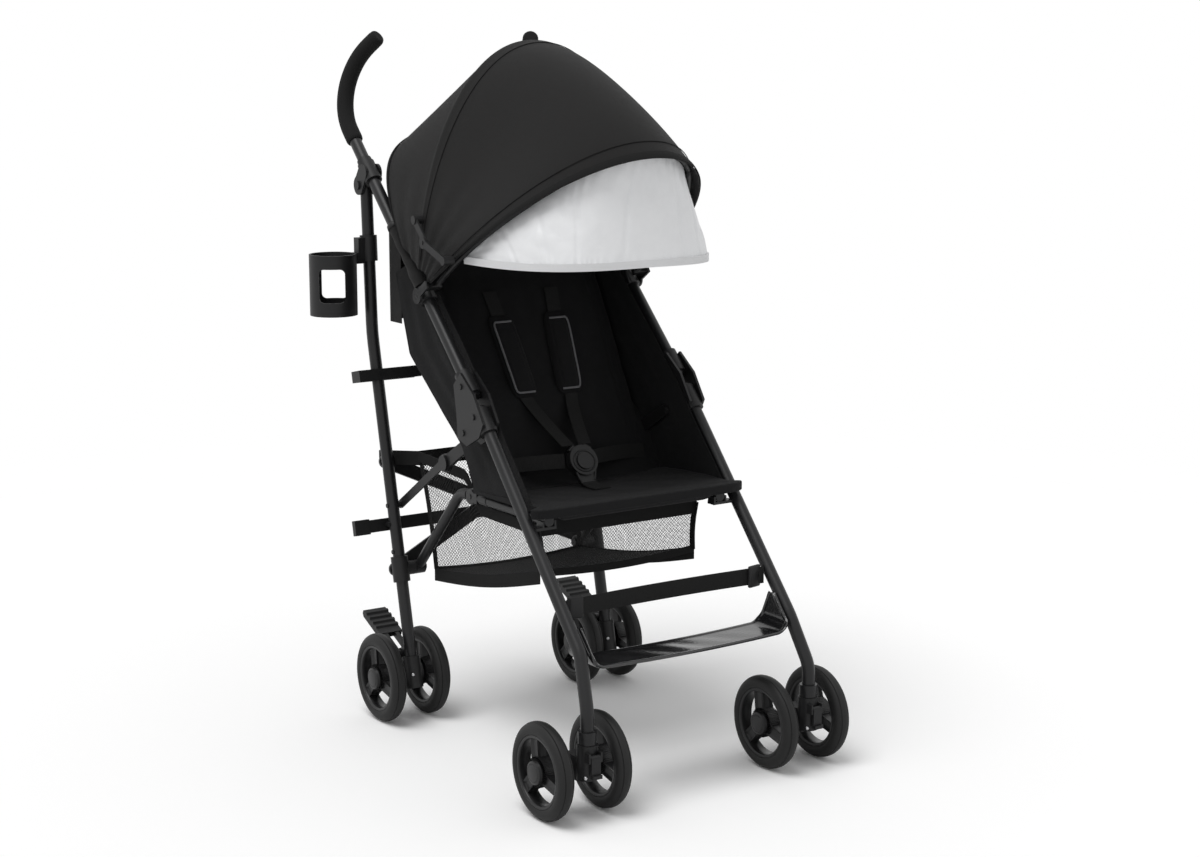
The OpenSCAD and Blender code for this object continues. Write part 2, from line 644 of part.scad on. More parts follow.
// sun visor hung under the front bow, gathered in folds
visor_in = wire_r + 1;
visor_r = 110;
n_low = asin((visor_r - leg_end(bow_half, bow_reach)) / bow_side);
function bow_in(n) = n < bow_turn
  ? [(bow_side - visor_in) * cos(n) - bow_side + bow_half,
    leg_end(bow_half, bow_reach) + (bow_side - visor_in) * sin(n)]
  : [(top_bend(bow_half) - visor_in) * cos(n),
    bow_reach - top_bend(bow_half) + (top_bend(bow_half) - visor_in) * sin(n)];
function visor_n(q) = q < 0.66 ? n_low + (bow_turn - n_low) * q / 0.66
  : bow_turn + (90 - bow_turn) * (q - 0.66) / 0.34;
function visor_top(u) = let (q = bow_in(visor_n(1 - abs(u)))) fan(a_bow, q[0] * sign(u), q[1]);
function visor_low(u) = let (t = 90 * (1 - abs(u)), q = arch(bow_half - 8, 228, t, 3))
  [q[0] * sign(u), 50 - q[1], 741 + 5 * (1 - abs(u))];
module visor() at() color(pale_c) {
  n = 36;
  m = 5;
  f = [for (i = [0 : n]) [for (j = [0 : m])
    let (u = -1 + 2 * i / n, v = j / m, e = visor_low(u), h = visor_top(u),
      w = 4 * sin(u * 1500) * (1 - u * u), p = e + (h - e) * v)
    p + unit([-p[0], 100 - p[1], 0]) * (w + 2) * sin(180 * v)]];
  b = [for (r = f) [for (q = r) q + unit([-q[0], 100 - q[1], 0]) * cloth_t]];
  slab(f, b);
}

// rear curtain, hung from the canopy's rear edge behind the backrest
curtain_half = 164;
function edge_at(x) = edge_reach * pow(1 - pow(abs(x) / canopy_half, edge_p), 1 / edge_p);
function curtain_skin(d) = [for (i = [-8 : 8]) [for (v = [0, 0.15, 0.35, 0.6, 0.8, 1])
  let (u = i / 8, x = u * curtain_half, e = [x, 322 - 52 * pow(abs(u), 4), 625],
    h = fan(a_rear, x, edge_at(x) - 1) + [0, 0.8, -0.6] * hang * 1.4)
  h + (e - h) * v + [0, d, 0]]];
module rear_curtain() at() color(cloth_c)
  slab(curtain_skin(0), curtain_skin(cloth_t));

stay_a = [0, canopy_pivot[1] - 114 * cos(a_top), canopy_pivot[2] + 114 * sin(a_top)];
stay_b = [0, canopy_pivot[1] - 114 * cos(a_front), canopy_pivot[2] + 114 * sin(a_front)];
stay_e = [0, canopy_pivot[1] - 35, canopy_pivot[2] + 83];
function stay_in(a) = 0.4 + canopy_half * pow(1 - pow(107 / reach(a), round_p), 1 / round_p);
module stay_upper(s) at() flip(s) color(plastic_c)
  union() {
    link(-canopy_out - 3, -canopy_out, stay_a, stay_e, 11);
    pin(-canopy_out - 4.5, -stay_in(a_top), stay_a, 6.5);
    pin(-canopy_out - 8, -canopy_out, stay_e, 3);
  }

module stay_lower(s) at() flip(s) color(plastic_c)
  difference() {
    union() {
      link(-canopy_out - 7, -canopy_out - 3 - gap, stay_e, stay_b, 11);
      pin(-canopy_out - 7, -canopy_out - 3 - gap, stay_e, 9);
      pin(-canopy_out - 8, -stay_in(a_front), stay_b, 6.5);
    }
    pin(-canopy_out - 30, 0, stay_e, 3 + fit);
  }

// shopping basket: a sagging tray with four walls, open on top
basket_half = rail_x - rail_r - hang;
function tray_z(y) = 300 - 62 * (y + 98) / 313 - 8 * sin(180 * (y + 98) / 313);
function rim_z(y) = y < 60 ? 372 : 372 + 52 * (y - 60) / 195;
function tray(u, y, d) =
  let (h = basket_half - d, zb = tray_z(y) + d, zr = rim_z(y), a = abs(u), k = sign(u))
  a > 0.5
    ? [k * (h - 6 * (1 - (a - 0.5) * 2)), y + (y > 200 ? 40 * (a - 0.5) * 2 : 0), zb + (zr - zb) * (a - 0.5) * 2]
    : [k * (h - 6) * a * 2, y, zb - 7 * (1 - pow(a * 2, 2))];
module basket() at() color(cloth_c) {
  us = [-1, -0.87, -0.75, -0.62, -0.5, -0.4, -0.27, -0.13, 0, 0.13, 0.27, 0.4, 0.5, 0.62, 0.75, 0.87, 1];
  ys = [-98, -70, -35, 0, 35, 70, 105, 140, 175, 215];
  f = [for (u = us) [for (y = ys) tray(u, y, 2.5)]];
  b = [for (u = us) [for (y = ys) tray(u, y, 0)]];
  slab(f, b);
  for (e = [-98, 215]) {
    y0 = e < 0 ? -98 : 211.5;
    g = [for (u = [-1 : 0.2 : 1]) [for (v = [0, 0.33, 0.66, 1])
      let (a = tray(u * 0.5, e, 1), z1 = rim_z(e)) [u * (basket_half - 6 + 5.5 * v), y0 + (e > 0 ? 40 * v : 0),
        a[2] + (z1 - a[2]) * v]]];
    h = [for (r = g) [for (q = r) q + [0, 3, 0]]];
    slab(g, h);
  }
}

// foot tray whose ends turn up into wings on the front legs
tray_half = leg_in - hang;
tray_bend = 24;
tray_low = 205;
tray_t = 4.5;
function tray_side(k, d) = k < 3 ? [(tray_half - tray_bend) * k / 3, tray_low + d - 3 * (1 - pow(k / 3, 2))]
  : k <= 7 ? let (t = 22.5 * (k - 3)) [tray_half - tray_bend + (tray_bend - d) * sin(t),
    tray_low + tray_bend - (tray_bend - d) * cos(t)]
  : [tray_half - d, tray_low + tray_bend + 14.5 * (k - 7)];
function tray_front(z) = -289 + max(0, z - 220) * 0.93;
function tray_rear(z) = -222 - max(0, z - 212) * 0.47;
function tray_skin(d) = [for (i = [-9 : 9])
  let (q = tray_side(abs(i), d), z = tray_side(abs(i), 0)[1])
  [for (v = [0, 0.5, 1]) [q[0] * sign(i), tray_front(z) + (tray_rear(z) - tray_front(z)) * v, q[1]]]];
module footrest() at() color(plastic_c)
  slab(tray_skin(tray_t), tray_skin(0));

// webbing strap behind the calves
module calf_strap() at() color(cloth_c) {
  us = [-1 : 0.125 : 1];
  f = [for (u = us) [for (z = [0, 1])
    [u * (leg_in - hang), -226 + 20 * (1 - u * u), 268 + 25 * z - 4 * (1 - u * u)]]];
  b = [for (r = f) [for (q = r) q + [0, 2, 0]]];
  slab(f, b);
  for (s = [-1, 1])
    flip(s)
      translate([-leg_in + hang, -228, 264]) cube([22, 6, 33]);
}

// two padded shoulder covers
module shoulder_pads() at() color(cloth_c)
  for (s = [-1, 1])
    flip(s) {
      n = 8;
      m = 12;
      f = [for (i = [0 : n]) [for (j = [0 : m])
        let (u = -1 + 2 * i / n, v = j / m, z = 522 + 120 * v, x = -40 - 11 * v)
        [x + 21.5 * u * (1 - 0.12 * pow(2 * v - 1, 6)),
          back_y(z) - 4.5 - 9 * (1 - pow(u, 4)) * (1 - pow(2 * v - 1, 6)),
          z]]];
      b = [for (r = f) [for (q = r) [q[0], back_y(q[2]) - 2, q[2]]]];
      slab(f, b);
    }

// belts: two over the shoulders, two round the waist and one between the legs
function seat_front(x, z) = back_y(z) + 8 - crown(x / back_w(z), -1 + 2 * (z - 402) / (back_top - 402));
module harness_straps() at() color(cloth_c) {
  for (s = [-1, 1])
    flip(s) {
      f = [for (u = [0, 1]) [for (v = [0 : 0.25 : 1])
        let (z = 642.3 + 35 * v, x = -64 + 25 * u - 5 * v) [x, seat_front(x, z) - 2 - hang, z]]];
      slab(f, [for (r = f) [for (q = r) q + [0, 2, 0]]]);
      g = [for (v = [0 : 0.1 : 1]) [for (w = [0, 1])
        let (z = 416 + 8 * v + 22 * w, x = -150 + (150 - buckle_w - hang) * v)
        [x, seat_front(x, z) - 2 - hang - 41 * v * v, z]]];
      slab(g, [for (r = g) [for (q = r) q + [0, 2, 0]]]);
      k = [for (i = [0, 1]) [for (v = [0 : 0.1 : 1])
        let (z = 456 + 65.7 * v, x = -26 - 26 * v + 22 * i)
        [x, seat_front(x, z) - 2 - hang - 45 * pow(1 - v, 1.5), z]]];
      slab(k, [for (r = k) [for (q = r) q + [0, 2, 0]]]);
    }
  c = [for (u = [-1, 1]) [for (v = [0 : 0.2 : 1])
    let (y = -56 + 38.7 * v) [u * 14, y, base_z(0.1, y) + hang + 5.5 * pow(v, 3)]]];
  slab([for (r = c) [for (q = r) q + [0, 0, 2]]], c);
}

buckle_w = 24;
module buckle_place()
  translate([0, back_y(430) - 42, 431])
    rotate([62, 0, 0])
      children();

module buckle() at() color(plastic_c)
  buckle_place()
    difference() {
      union() {
        cylinder(h = 13, r = buckle_w);
        for (a = [55, 125]) rotate([0, 0, a]) translate([15, -6, 1]) cube([12, 12, 9]);
        translate([-13, -34, 1]) cube([26, 20, 8]);
      }
      translate([0, -2, 7]) scale(1) cylinder(h = 20, r = 13 + gap);
    }

module buckle_button() at() color(plastic_c)
  buckle_place()
    translate([0, -2, 10.5]) cylinder(h = 5, r = 13);

wf = [castor_x - front_pair / 2, castor_x + front_pair / 2];
wr = [side_x - rear_pair / 2, side_x + rear_pair / 2];

push_tube(-1);  // push_tube_l
push_tube(1);  // push_tube_r
grip(-1);  // grip_l
grip(1);  // grip_r
upper_bracket(-1);  // upper_bracket_l
upper_bracket(1);  // upper_bracket_r
knuckle(-1);  // knuckle_l
knuckle(1);  // knuckle_r
front_leg(-1);  // front_leg_l
front_leg(1);  // front_leg_r
castor(-1);  // castor_l
castor(1);  // castor_r
swivel_lock(-1);  // swivel_lock_l
swivel_lock(1);  // swivel_lock_r
wheel(-wf[1], front_axle_y);  // wheel_fl_outer
wheel(-wf[0], front_axle_y);  // wheel_fl_inner
wheel(wf[0], front_axle_y);  // wheel_fr_inner
wheel(wf[1], front_axle_y);  // wheel_fr_outer
wheel(-wr[1], rear_axle_y);  // wheel_rl_outer
wheel(-wr[0], rear_axle_y);  // wheel_rl_inner
wheel(wr[0], rear_axle_y);  // wheel_rr_inner
wheel(wr[1], rear_axle_y);  // wheel_rr_outer
rear_leg(-1);  // rear_leg_l
rear_leg(1);  // rear_leg_r
rear_housing(-1);  // rear_housing_l
rear_housing(1);  // rear_housing_r
brake_pedal(-1);  // brake_pedal_l
brake_pedal(1);  // brake_pedal_r
cup_holder();
storage_latch();
link_tube(-1);  // link_tube_l
link_tube(1);  // link_tube_r
seat_rail(-1);  // seat_rail_l
seat_rail(1);  // seat_rail_r
brace_lower(-1);  // brace_lower_l
brace_lower(1);  // brace_lower_r
brace_upper(-1);  // brace_upper_l
brace_upper(1);  // brace_upper_r
x_bar(-1);  // x_bar_l
x_bar(1);  // x_bar_r
lock_bar(-1);  // lock_bar_l
lock_bar(1);  // lock_bar_r
seat_back();
seat_base();
canopy_fabric();
canopy_rear_bow();
canopy_front_bow();
visor();
stay_upper(-1);  // stay_upper_l
stay_upper(1);  // stay_upper_r
stay_lower(-1);  // stay_lower_l
stay_lower(1);  // stay_lower_r
basket();
footrest();
calf_strap();
shoulder_pads();
harness_straps();
buckle();
buckle_button();
rear_curtain();
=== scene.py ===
# %% [markdown]
# An umbrella stroller, dressed for its picture
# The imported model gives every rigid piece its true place. This lesson adds what the plain solids lack:
# cloth that sags, padding, webbing, netting, tyres, foam and finishes. Lengths are written in millimetres
# in the stroller's own frame and turned into metres in one place, so a size can be read off a drawing. The
# zero of that frame lies on the floor, midway between the push tubes and a set way behind the front axles.

# %% Load the frame and find its middle
from math import asin, copysign, cos, degrees, exp, hypot, pi, radians, sin
import bpy
from mathutils import Vector, Matrix


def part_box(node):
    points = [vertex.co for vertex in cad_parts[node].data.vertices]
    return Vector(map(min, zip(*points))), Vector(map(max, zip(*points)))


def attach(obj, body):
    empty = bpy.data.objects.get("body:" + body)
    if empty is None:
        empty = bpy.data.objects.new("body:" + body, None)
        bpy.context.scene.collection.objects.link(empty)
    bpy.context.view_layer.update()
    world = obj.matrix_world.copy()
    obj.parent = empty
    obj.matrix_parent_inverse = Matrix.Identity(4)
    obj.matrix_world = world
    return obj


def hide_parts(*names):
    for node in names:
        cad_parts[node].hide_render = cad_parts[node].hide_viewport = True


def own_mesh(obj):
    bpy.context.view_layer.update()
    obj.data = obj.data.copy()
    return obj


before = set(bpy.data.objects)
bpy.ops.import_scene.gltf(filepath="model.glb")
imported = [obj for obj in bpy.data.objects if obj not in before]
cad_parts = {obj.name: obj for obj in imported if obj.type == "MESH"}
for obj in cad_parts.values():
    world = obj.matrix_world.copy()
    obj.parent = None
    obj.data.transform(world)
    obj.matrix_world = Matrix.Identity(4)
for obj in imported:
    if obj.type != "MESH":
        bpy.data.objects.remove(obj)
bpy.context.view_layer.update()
left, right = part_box("push_tube_l"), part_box("push_tube_r")
BEHIND_AXLES = 0.270
MID = (left[0].x + right[1].x) / 2
FRONT = sum(c.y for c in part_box("wheel_fl_outer")) / 2 + BEHIND_AXLES


def mm(x, y, z):
    return Vector((MID + x / 1000, FRONT + y / 1000, z / 1000))


print("middle", round(MID, 5), "front", round(FRONT, 5), "nodes", len(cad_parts))

# %% [markdown]
# The camera
# The place and lens were solved from the eight wheels in the photograph, so the camera stands where the
# photographer stood: about as high as the handles, in front and to the child's right. DIP and SWING are the
# degrees it looks down and turns aside.

# %% Camera
DIP, SWING = 10.512, 33.556
scene = bpy.context.scene
scene.view_settings.view_transform = "Standard"
lens = bpy.data.cameras.new("camera")
lens.lens, lens.sensor_width = 63.7, 36
camera = bpy.data.objects.new("camera", lens)
camera.location = mm(-1720.5, -2641.5, 1069.1)
camera.rotation_euler = (radians(90 - DIP), 0, radians(-SWING))
scene.collection.objects.link(camera)
scene.camera = camera
print("camera at", [round(c, 3) for c in camera.location])

# %% [markdown]
# Shader wiring
# Nodes are easier to read as sums. Wire wraps one output socket, and arithmetic on it adds Math nodes.
# Bench is a material on the workbench: one method adds any node with its settings and inputs.


# %% Wire and Bench
class Wire:
    def __init__(self, bench, socket):
        self.bench, self.socket = bench, socket

    def op(self, kind, a, b=0.0):
        return self.bench.node("ShaderNodeMath", {"operation": kind}, {0: a, 1: b})

    def __add__(self, b): return self.op("ADD", self, b)
    def __radd__(self, b): return self.op("ADD", b, self)
    def __sub__(self, b): return self.op("SUBTRACT", self, b)
    def __mul__(self, b): return self.op("MULTIPLY", self, b)
    def __rmul__(self, b): return self.op("MULTIPLY", b, self)
    def __truediv__(self, b): return self.op("DIVIDE", self, b)
    def __gt__(self, b): return self.op("GREATER_THAN", self, b)
    def sine(self): return self.op("SINE", self)
    def size(self): return self.op("ABSOLUTE", self)
    def wrap(self): return self.op("FRACT", self)


class Bench:
    def __init__(self, tree):
        self.tree = tree
        tree.nodes.clear()

    def node(self, kind, settings={}, inputs={}, out=0):
        made = self.tree.nodes.new(kind)
        for key, value in settings.items():
            if key == "stops":
                for k, (at, level) in enumerate(value):
                    ramp = made.color_ramp.elements
                    stop = ramp[k] if k < len(ramp) else ramp.new(at)
                    stop.position, stop.color = at, (level, level, level, 1)
            else:
                setattr(made, key, value)
        for key, value in inputs.items():
            if isinstance(value, Wire):
                self.tree.links.new(value.socket, made.inputs[key])
            else:
                made.inputs[key].default_value = value
        return Wire(self, made.outputs[out]) if len(made.outputs) else None

    def split(self, vector):
        made = self.tree.nodes.new("ShaderNodeSeparateXYZ")
        self.tree.links.new(vector.socket, made.inputs[0])
        return [Wire(self, made.outputs[k]) for k in range(3)]

    def place(self, uv=False):
        return self.node("ShaderNodeTexCoord", out=2 if uv else 3)

    def noise(self, scale, detail):
        inputs = {"Vector": self.place(), "Scale": scale, "Detail": detail}
        return self.node("ShaderNodeTexNoise", {}, inputs)

    def tint(self, share, a, b):
        return self.node("ShaderNodeMix", {"data_type": "RGBA"}, {0: share, 6: (*a, 1), 7: (*b, 1)}, out=2)

    def bump(self, height, depth, strength=1.0):
        return self.node("ShaderNodeBump", {}, {"Height": height, "Distance": depth, "Strength": strength})

    def skin(self, **sockets):
        inputs = {key.replace("_", " "): value for key, value in sockets.items()}
        shader = self.node("ShaderNodeBsdfPrincipled", {}, inputs)
        self.node("ShaderNodeOutputMaterial", {}, {"Surface": shader})


def finish(name):
    material = bpy.data.materials.new(name)
    material.use_nodes = True
    return material, Bench(material.node_tree)


print("wiring ready")

# %% [markdown]
# Studio
# A pale floor and an even pale sky give soft light at a plain level. Rays from the camera, and rays that
# bounce off gloss or pass through, see pure white, which gives the white background of a catalogue picture.
# The floor is a little brighter to the camera than to other rays, so that it reads as white and still keeps
# the shadow, and it fades out before its edge.

# %% Sky, lamp and floor
SKY_LEVEL = 0.57
FLOOR_LIT, FLOOR_SEEN = 0.9, 1.05
FADE_FROM, FADE_TO = 0.9, 2.6
world = bpy.data.worlds.new("studio")
scene.world = world
world.use_nodes = True
sky = Bench(world.node_tree)
rays = [sky.node("ShaderNodeLightPath", out=k) for k in (0, 3, 6)]
seen = sky.node("ShaderNodeMath", {"operation": "MAXIMUM"}, {0: rays[0], 1: rays[1] + rays[2]})
level = SKY_LEVEL + (1 - SKY_LEVEL) * (seen > 0.5)
air = sky.node("ShaderNodeBackground", {}, {"Color": (1, 1, 1, 1), "Strength": level})
sky.node("ShaderNodeOutputWorld", {}, {"Surface": air})

lamp = bpy.data.lights.new("key", "SUN")
lamp.energy, lamp.angle = 1.4, radians(36)
key = bpy.data.objects.new("key", lamp)
key.rotation_euler = (radians(20), radians(-9), radians(-58))
scene.collection.objects.link(key)

bpy.ops.object.select_all(action="DESELECT")
bpy.ops.mesh.primitive_circle_add(vertices=96, radius=6, fill_type="NGON", location=(MID, FRONT, 0))
floor = bpy.context.object
floor.name = "floor"
paper, bench = finish("paper")
x, y = bench.split(bench.place())[:2]
reach = bench.node("ShaderNodeMath", {"operation": "SQRT"}, {0: x * x + y * y})
fade = bench.node("ShaderNodeMapRange", {}, {0: reach, 1: FADE_FROM, 2: FADE_TO, 3: 0.0, 4: 1.0})
looked_at = bench.node("ShaderNodeLightPath", out=0)
shade = bench.tint(looked_at, [FLOOR_LIT] * 3, [FLOOR_SEEN] * 3)
matte = bench.node("ShaderNodeBsdfDiffuse", {}, {"Color": shade})
clear = bench.node("ShaderNodeBsdfTransparent")
mixed = bench.node("ShaderNodeMixShader", {}, {0: fade, 1: matte, 2: clear})
bench.node("ShaderNodeOutputMaterial", {}, {"Surface": mixed})
floor.data.materials.append(paper)
print("studio ready")

# %% [markdown]
# Hard finishes
# The tubes are steel under a dark satin powder coat, which has a very fine orange-peel. The fittings are
# black moulded plastic with a sparkless fine grain. Each finish drifts a little in tone and gloss over
# centimetres, as handled parts do.


# %% Powder coat, plastic, foam and rubber
def coat(name, dark, light, gloss, grain, depth, metal=0.0, spec=0.5, cell=False):
    material, bench = finish(name)
    drift = bench.noise(9, 4)
    if cell:
        fine = bench.node("ShaderNodeTexVoronoi", {}, {"Vector": bench.place(), "Scale": grain})
    else:
        fine = bench.noise(grain, 2)
    share = drift * 0.7 + fine * 0.3
    bench.skin(Base_Color=bench.tint(share, dark, light), Roughness=gloss[0] + (gloss[1] - gloss[0]) * drift,
               Metallic=metal, Specular_IOR_Level=spec, Normal=bench.bump(fine, depth))
    return material


powder = coat("satin powder coat", (0.006, 0.006, 0.0065), (0.015, 0.015, 0.016), (0.3, 0.42),
              1500, 0.00008, spec=0.32)
bar_coat = coat("black bar coat", (0.006, 0.006, 0.0065), (0.012, 0.012, 0.0125), (0.36, 0.5),
                1300, 0.00008, spec=0.3)
plastic = coat("moulded plastic", (0.006, 0.006, 0.0064), (0.013, 0.013, 0.0135), (0.4, 0.56),
               1900, 0.00006, spec=0.3)
foam_skin = coat("grip foam", (0.006, 0.006, 0.006), (0.015, 0.015, 0.015), (0.75, 0.92),
                 900, 0.00025, spec=0.18, cell=True)
rubber = coat("tyre rubber", (0.006, 0.006, 0.006), (0.014, 0.014, 0.014), (0.5, 0.66), 1200, 0.0001, spec=0.3)
rim_plastic = coat("wheel plastic", (0.007, 0.007, 0.0074), (0.015, 0.015, 0.0155), (0.3, 0.44),
                   1500, 0.00005, spec=0.35)
rivet_steel = coat("rivet steel", (0.42, 0.42, 0.43), (0.62, 0.62, 0.63), (0.22, 0.36), 700, 0.00004, metal=1.0)
film = coat("glossy film", (0.007, 0.007, 0.0075), (0.014, 0.014, 0.015), (0.1, 0.2), 260, 0.0002, spec=0.6)
print("hard finishes", 8)

# %% [markdown]
# Cloth finishes
# A woven cloth is two sets of threads that pass over and under each other. Two sine waves across the
# cloth's own map, which is laid out in metres, give the threads at their true size, and a slow noise
# gives the faded patches and slubs that keep a large plain panel from looking like paint.


# %% Woven cloth, webbing, piping
def woven(name, dark, light, pitch, depth, rough=0.85, spec=0.15, sheen=0.0, rib=0.0):
    material, bench = finish(name)
    u, v = bench.split(bench.place(uv=True))[:2]
    warp = (u * (2 * pi / pitch)).sine()
    weft = (v * (2 * pi / pitch)).sine()
    if rib:
        thread = ((v * (2 * pi / rib)).sine() * 0.7 + warp * 0.3) * 0.5 + 0.5
    else:
        thread = (warp * weft) * 0.5 + 0.5
    drift = bench.noise(14, 5)
    slub = bench.noise(240, 2)
    share = drift * 0.45 + thread * 0.3 + slub * 0.25
    bench.skin(Base_Color=bench.tint(share, dark, light), Roughness=rough + 0.1 * (drift - 0.5),
               Specular_IOR_Level=spec, Sheen_Weight=sheen, Sheen_Roughness=0.5,
               Normal=bench.bump(thread + slub * 0.4, depth))
    return material


canopy_cloth = woven("charcoal canopy cloth", (0.009, 0.0088, 0.0088), (0.021, 0.0205, 0.0205),
                     0.0016, 0.00022, sheen=0.06)
seat_cloth = woven("black seat cloth", (0.005, 0.005, 0.0055), (0.013, 0.013, 0.0135),
                   0.0013, 0.0002, sheen=0.03)
binding = woven("woven binding", (0.006, 0.006, 0.006), (0.016, 0.016, 0.016), 0.0011, 0.0002, rib=0.0016)
webbing = woven("belt webbing", (0.007, 0.007, 0.007), (0.02, 0.02, 0.02), 0.0014, 0.0003,
                rough=0.7, rib=0.0022)
grey_piping = woven("grey piping", (0.12, 0.12, 0.125), (0.24, 0.24, 0.25), 0.0012, 0.0002, rough=0.6, spec=0.4)
print("cloth finishes", 5)

# %% [markdown]
# Sun visor and net
# The visor is a thin silver-backed sheet that has been folded many times, so it keeps small sharp
# crinkles. The basket is a black knitted net: the holes are cut out of a sheet by its own map.


# %% Silver sheet and net
NET_PITCH, NET_HOLE = 0.0052, 0.415


def silver():
    material, bench = finish("silver visor sheet")
    crease = bench.node("ShaderNodeTexVoronoi", {"feature": "DISTANCE_TO_EDGE"},
                        {"Vector": bench.place(), "Scale": 26.0})
    soft = bench.noise(18, 4)
    fine = bench.noise(70, 3)
    share = soft * 0.6 + fine * 0.4
    bench.skin(Base_Color=bench.tint(share, (0.79, 0.8, 0.815), (0.92, 0.925, 0.935)), Metallic=0.05,
               Roughness=0.36 + 0.2 * fine, Specular_IOR_Level=0.45,
               Normal=bench.bump(soft * 0.6 + fine * 0.3 + crease * 0.3, 0.005, 0.45))
    return material


def knit():
    material, bench = finish("basket net")
    u, v = bench.split(bench.place(uv=True))[:2]
    a = ((u + v) / NET_PITCH).wrap() - 0.5
    b = ((u - v) / NET_PITCH).wrap() - 0.5
    yarn = bench.node("ShaderNodeMath", {"operation": "MAXIMUM"}, {0: a.size(), 1: b.size()})
    tone = bench.noise(120, 2)
    bench.skin(Base_Color=bench.tint(tone, (0.012, 0.012, 0.012), (0.04, 0.04, 0.04)), Roughness=0.8,
               Specular_IOR_Level=0.15, Alpha=yarn > NET_HOLE, Normal=bench.bump(yarn, 0.0003))
    return material


silver_sheet, net = silver(), knit()
print("silver sheet and net ready")

# %% [markdown]
# Small helpers, in the order a hand would use them
# fresh() puts the tools down. settle() names a finished piece, sets its place into its mesh, smooths it,
# gives it a finish and hangs it on a body of the frame. drape() does the same for cloth. The folds are the
# shares of its width that a soft piece keeps when the frame folds; settle() only gives a piece with a fold
# share a mesh of its own. clamp() and peak() shape the rules.

# %% Modelling helpers
SIDES = ((-1, "l"), (1, "r"))
LEVEL, SLOPED, UPRIGHT = (1, 0, 0), (0, 0.2, 1), (0, 0, 1)
HOOD_FOLD, SEAT_FOLD, SIDE_FOLD = 0.36, 0.34, 0.32
CLOTH_SMOOTH = 60


def clamp(x):
    return max(0.0, min(x, 1.0))


def peak(x, width):
    return exp(-(x / width) ** 2)


def fresh():
    if bpy.context.object and bpy.context.object.mode != "OBJECT":
        bpy.ops.object.mode_set(mode="OBJECT")
    bpy.ops.object.select_all(action="DESELECT")


def hold(piece):
    fresh()
    piece.select_set(True)
    bpy.context.view_layer.objects.active = piece
    return piece


def shape(piece, kind, **settings):
    hold(piece)
    modifier = piece.modifiers.new(kind.lower(), kind)
    for key, value in settings.items():
        setattr(modifier, key, value)
    bpy.ops.object.modifier_apply(modifier=modifier.name)


def settle(piece, name, look, body, smooth, fold=None):
    hold(piece)
    bpy.ops.object.transform_apply(location=True, rotation=True, scale=True)
    bpy.ops.object.shade_smooth_by_angle(angle=radians(smooth))
    piece.name = piece.data.name = name
    piece.data.materials.clear()
    piece.data.materials.append(look)
    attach(piece, body)
    if fold:
        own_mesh(piece)


def drape(piece, name, look, body, fold=None):
    settle(piece, name, look, body, CLOTH_SMOOTH, fold)


def cloth_cut(piece, width, length, faces=2):
    area = sum(f.area for f in piece.data.polygons) / faces
    min(area, width * length)


def join(pieces):
    fresh()
    for p in pieces:
        p.select_set(True)
    bpy.context.view_layer.objects.active = pieces[0]
    bpy.ops.object.join()
    return pieces[0]


def edit_all(piece):
    hold(piece)
    bpy.ops.object.mode_set(mode="EDIT")
    bpy.ops.mesh.select_all(action="SELECT")


def weld(piece):
    edit_all(piece)
    bpy.ops.mesh.remove_doubles(threshold=1e-6)


def outward(piece):
    weld(piece)
    bpy.ops.mesh.normals_make_consistent(inside=False)
    fresh()
    return piece


def soften(piece, offset, segments):
    edit_all(piece)
    bpy.ops.mesh.bevel(offset=offset, segments=segments, affect="EDGES")
    fresh()


print("helpers ready")

# %% [markdown]
# Sheets and tubes
# A sheet starts as a flat grid. Each of its points is moved to the place that a short rule gives it, its
# map is stretched to its true size in metres, and Solidify gives the cloth its thickness. A tube or cord
# starts as a path with a round section and becomes a mesh. A pillow is a block pulled to a rounded slab, and
# a strap is a sheet of one width laid along a path.


# %% Sheet, pillow, tube and strap
def sheet(across, down, rule, thick, flat, offset=-1.0):
    fresh()
    bpy.ops.mesh.primitive_grid_add(x_subdivisions=across, y_subdivisions=down, size=1)
    piece = bpy.context.object
    for p in piece.data.vertices:
        p.co = mm(*rule(p.co.x * 2, p.co.y + 0.5))
    for spot in piece.data.uv_layers.active.data:
        spot.uv = (spot.uv[0] * flat[0], spot.uv[1] * flat[1])
    if thick:
        shape(piece, "SOLIDIFY", thickness=thick / 1000, offset=offset)
    return piece


def pillow(cuts, power, rule, flat):
    fresh()
    bpy.ops.mesh.primitive_cube_add(size=2)
    piece = bpy.context.object
    bpy.ops.object.mode_set(mode="EDIT")
    bpy.ops.mesh.subdivide(number_cuts=cuts)
    fresh()
    for spot, loop in zip(piece.data.uv_layers.active.data, piece.data.loops):
        q = piece.data.vertices[loop.vertex_index].co
        spot.uv = (q.x * flat[0] / 2, (q.z + q.y * 0.1) * flat[1] / 2)
    for p in piece.data.vertices:
        u, w, v = p.co
        k = (abs(u) ** power + abs(v) ** power + abs(w) ** power) ** (-1 / power)
        p.co = mm(*rule(u * k, v * k, w * k))
    return piece


def tube(points, radius, sides=10, ends=None):
    fresh()
    line = bpy.data.curves.new("path", "CURVE")
    line.dimensions, line.bevel_depth, line.bevel_resolution = "3D", radius / 1000, max(1, sides // 4)
    line.use_fill_caps = True
    spline = line.splines.new("POLY")
    spline.points.add(len(points) - 1)
    for k, (p, q) in enumerate(zip(spline.points, points)):
        p.co = (*mm(*q), 1)
        p.radius = ends[k] if ends else 1
    piece = bpy.data.objects.new("path", line)
    scene.collection.objects.link(piece)
    hold(piece)
    bpy.ops.object.convert(target="MESH")
    return bpy.context.object


def path_length(points):
    return sum((Vector(b) - Vector(a)).length for a, b in zip(points, points[1:])) / 1000


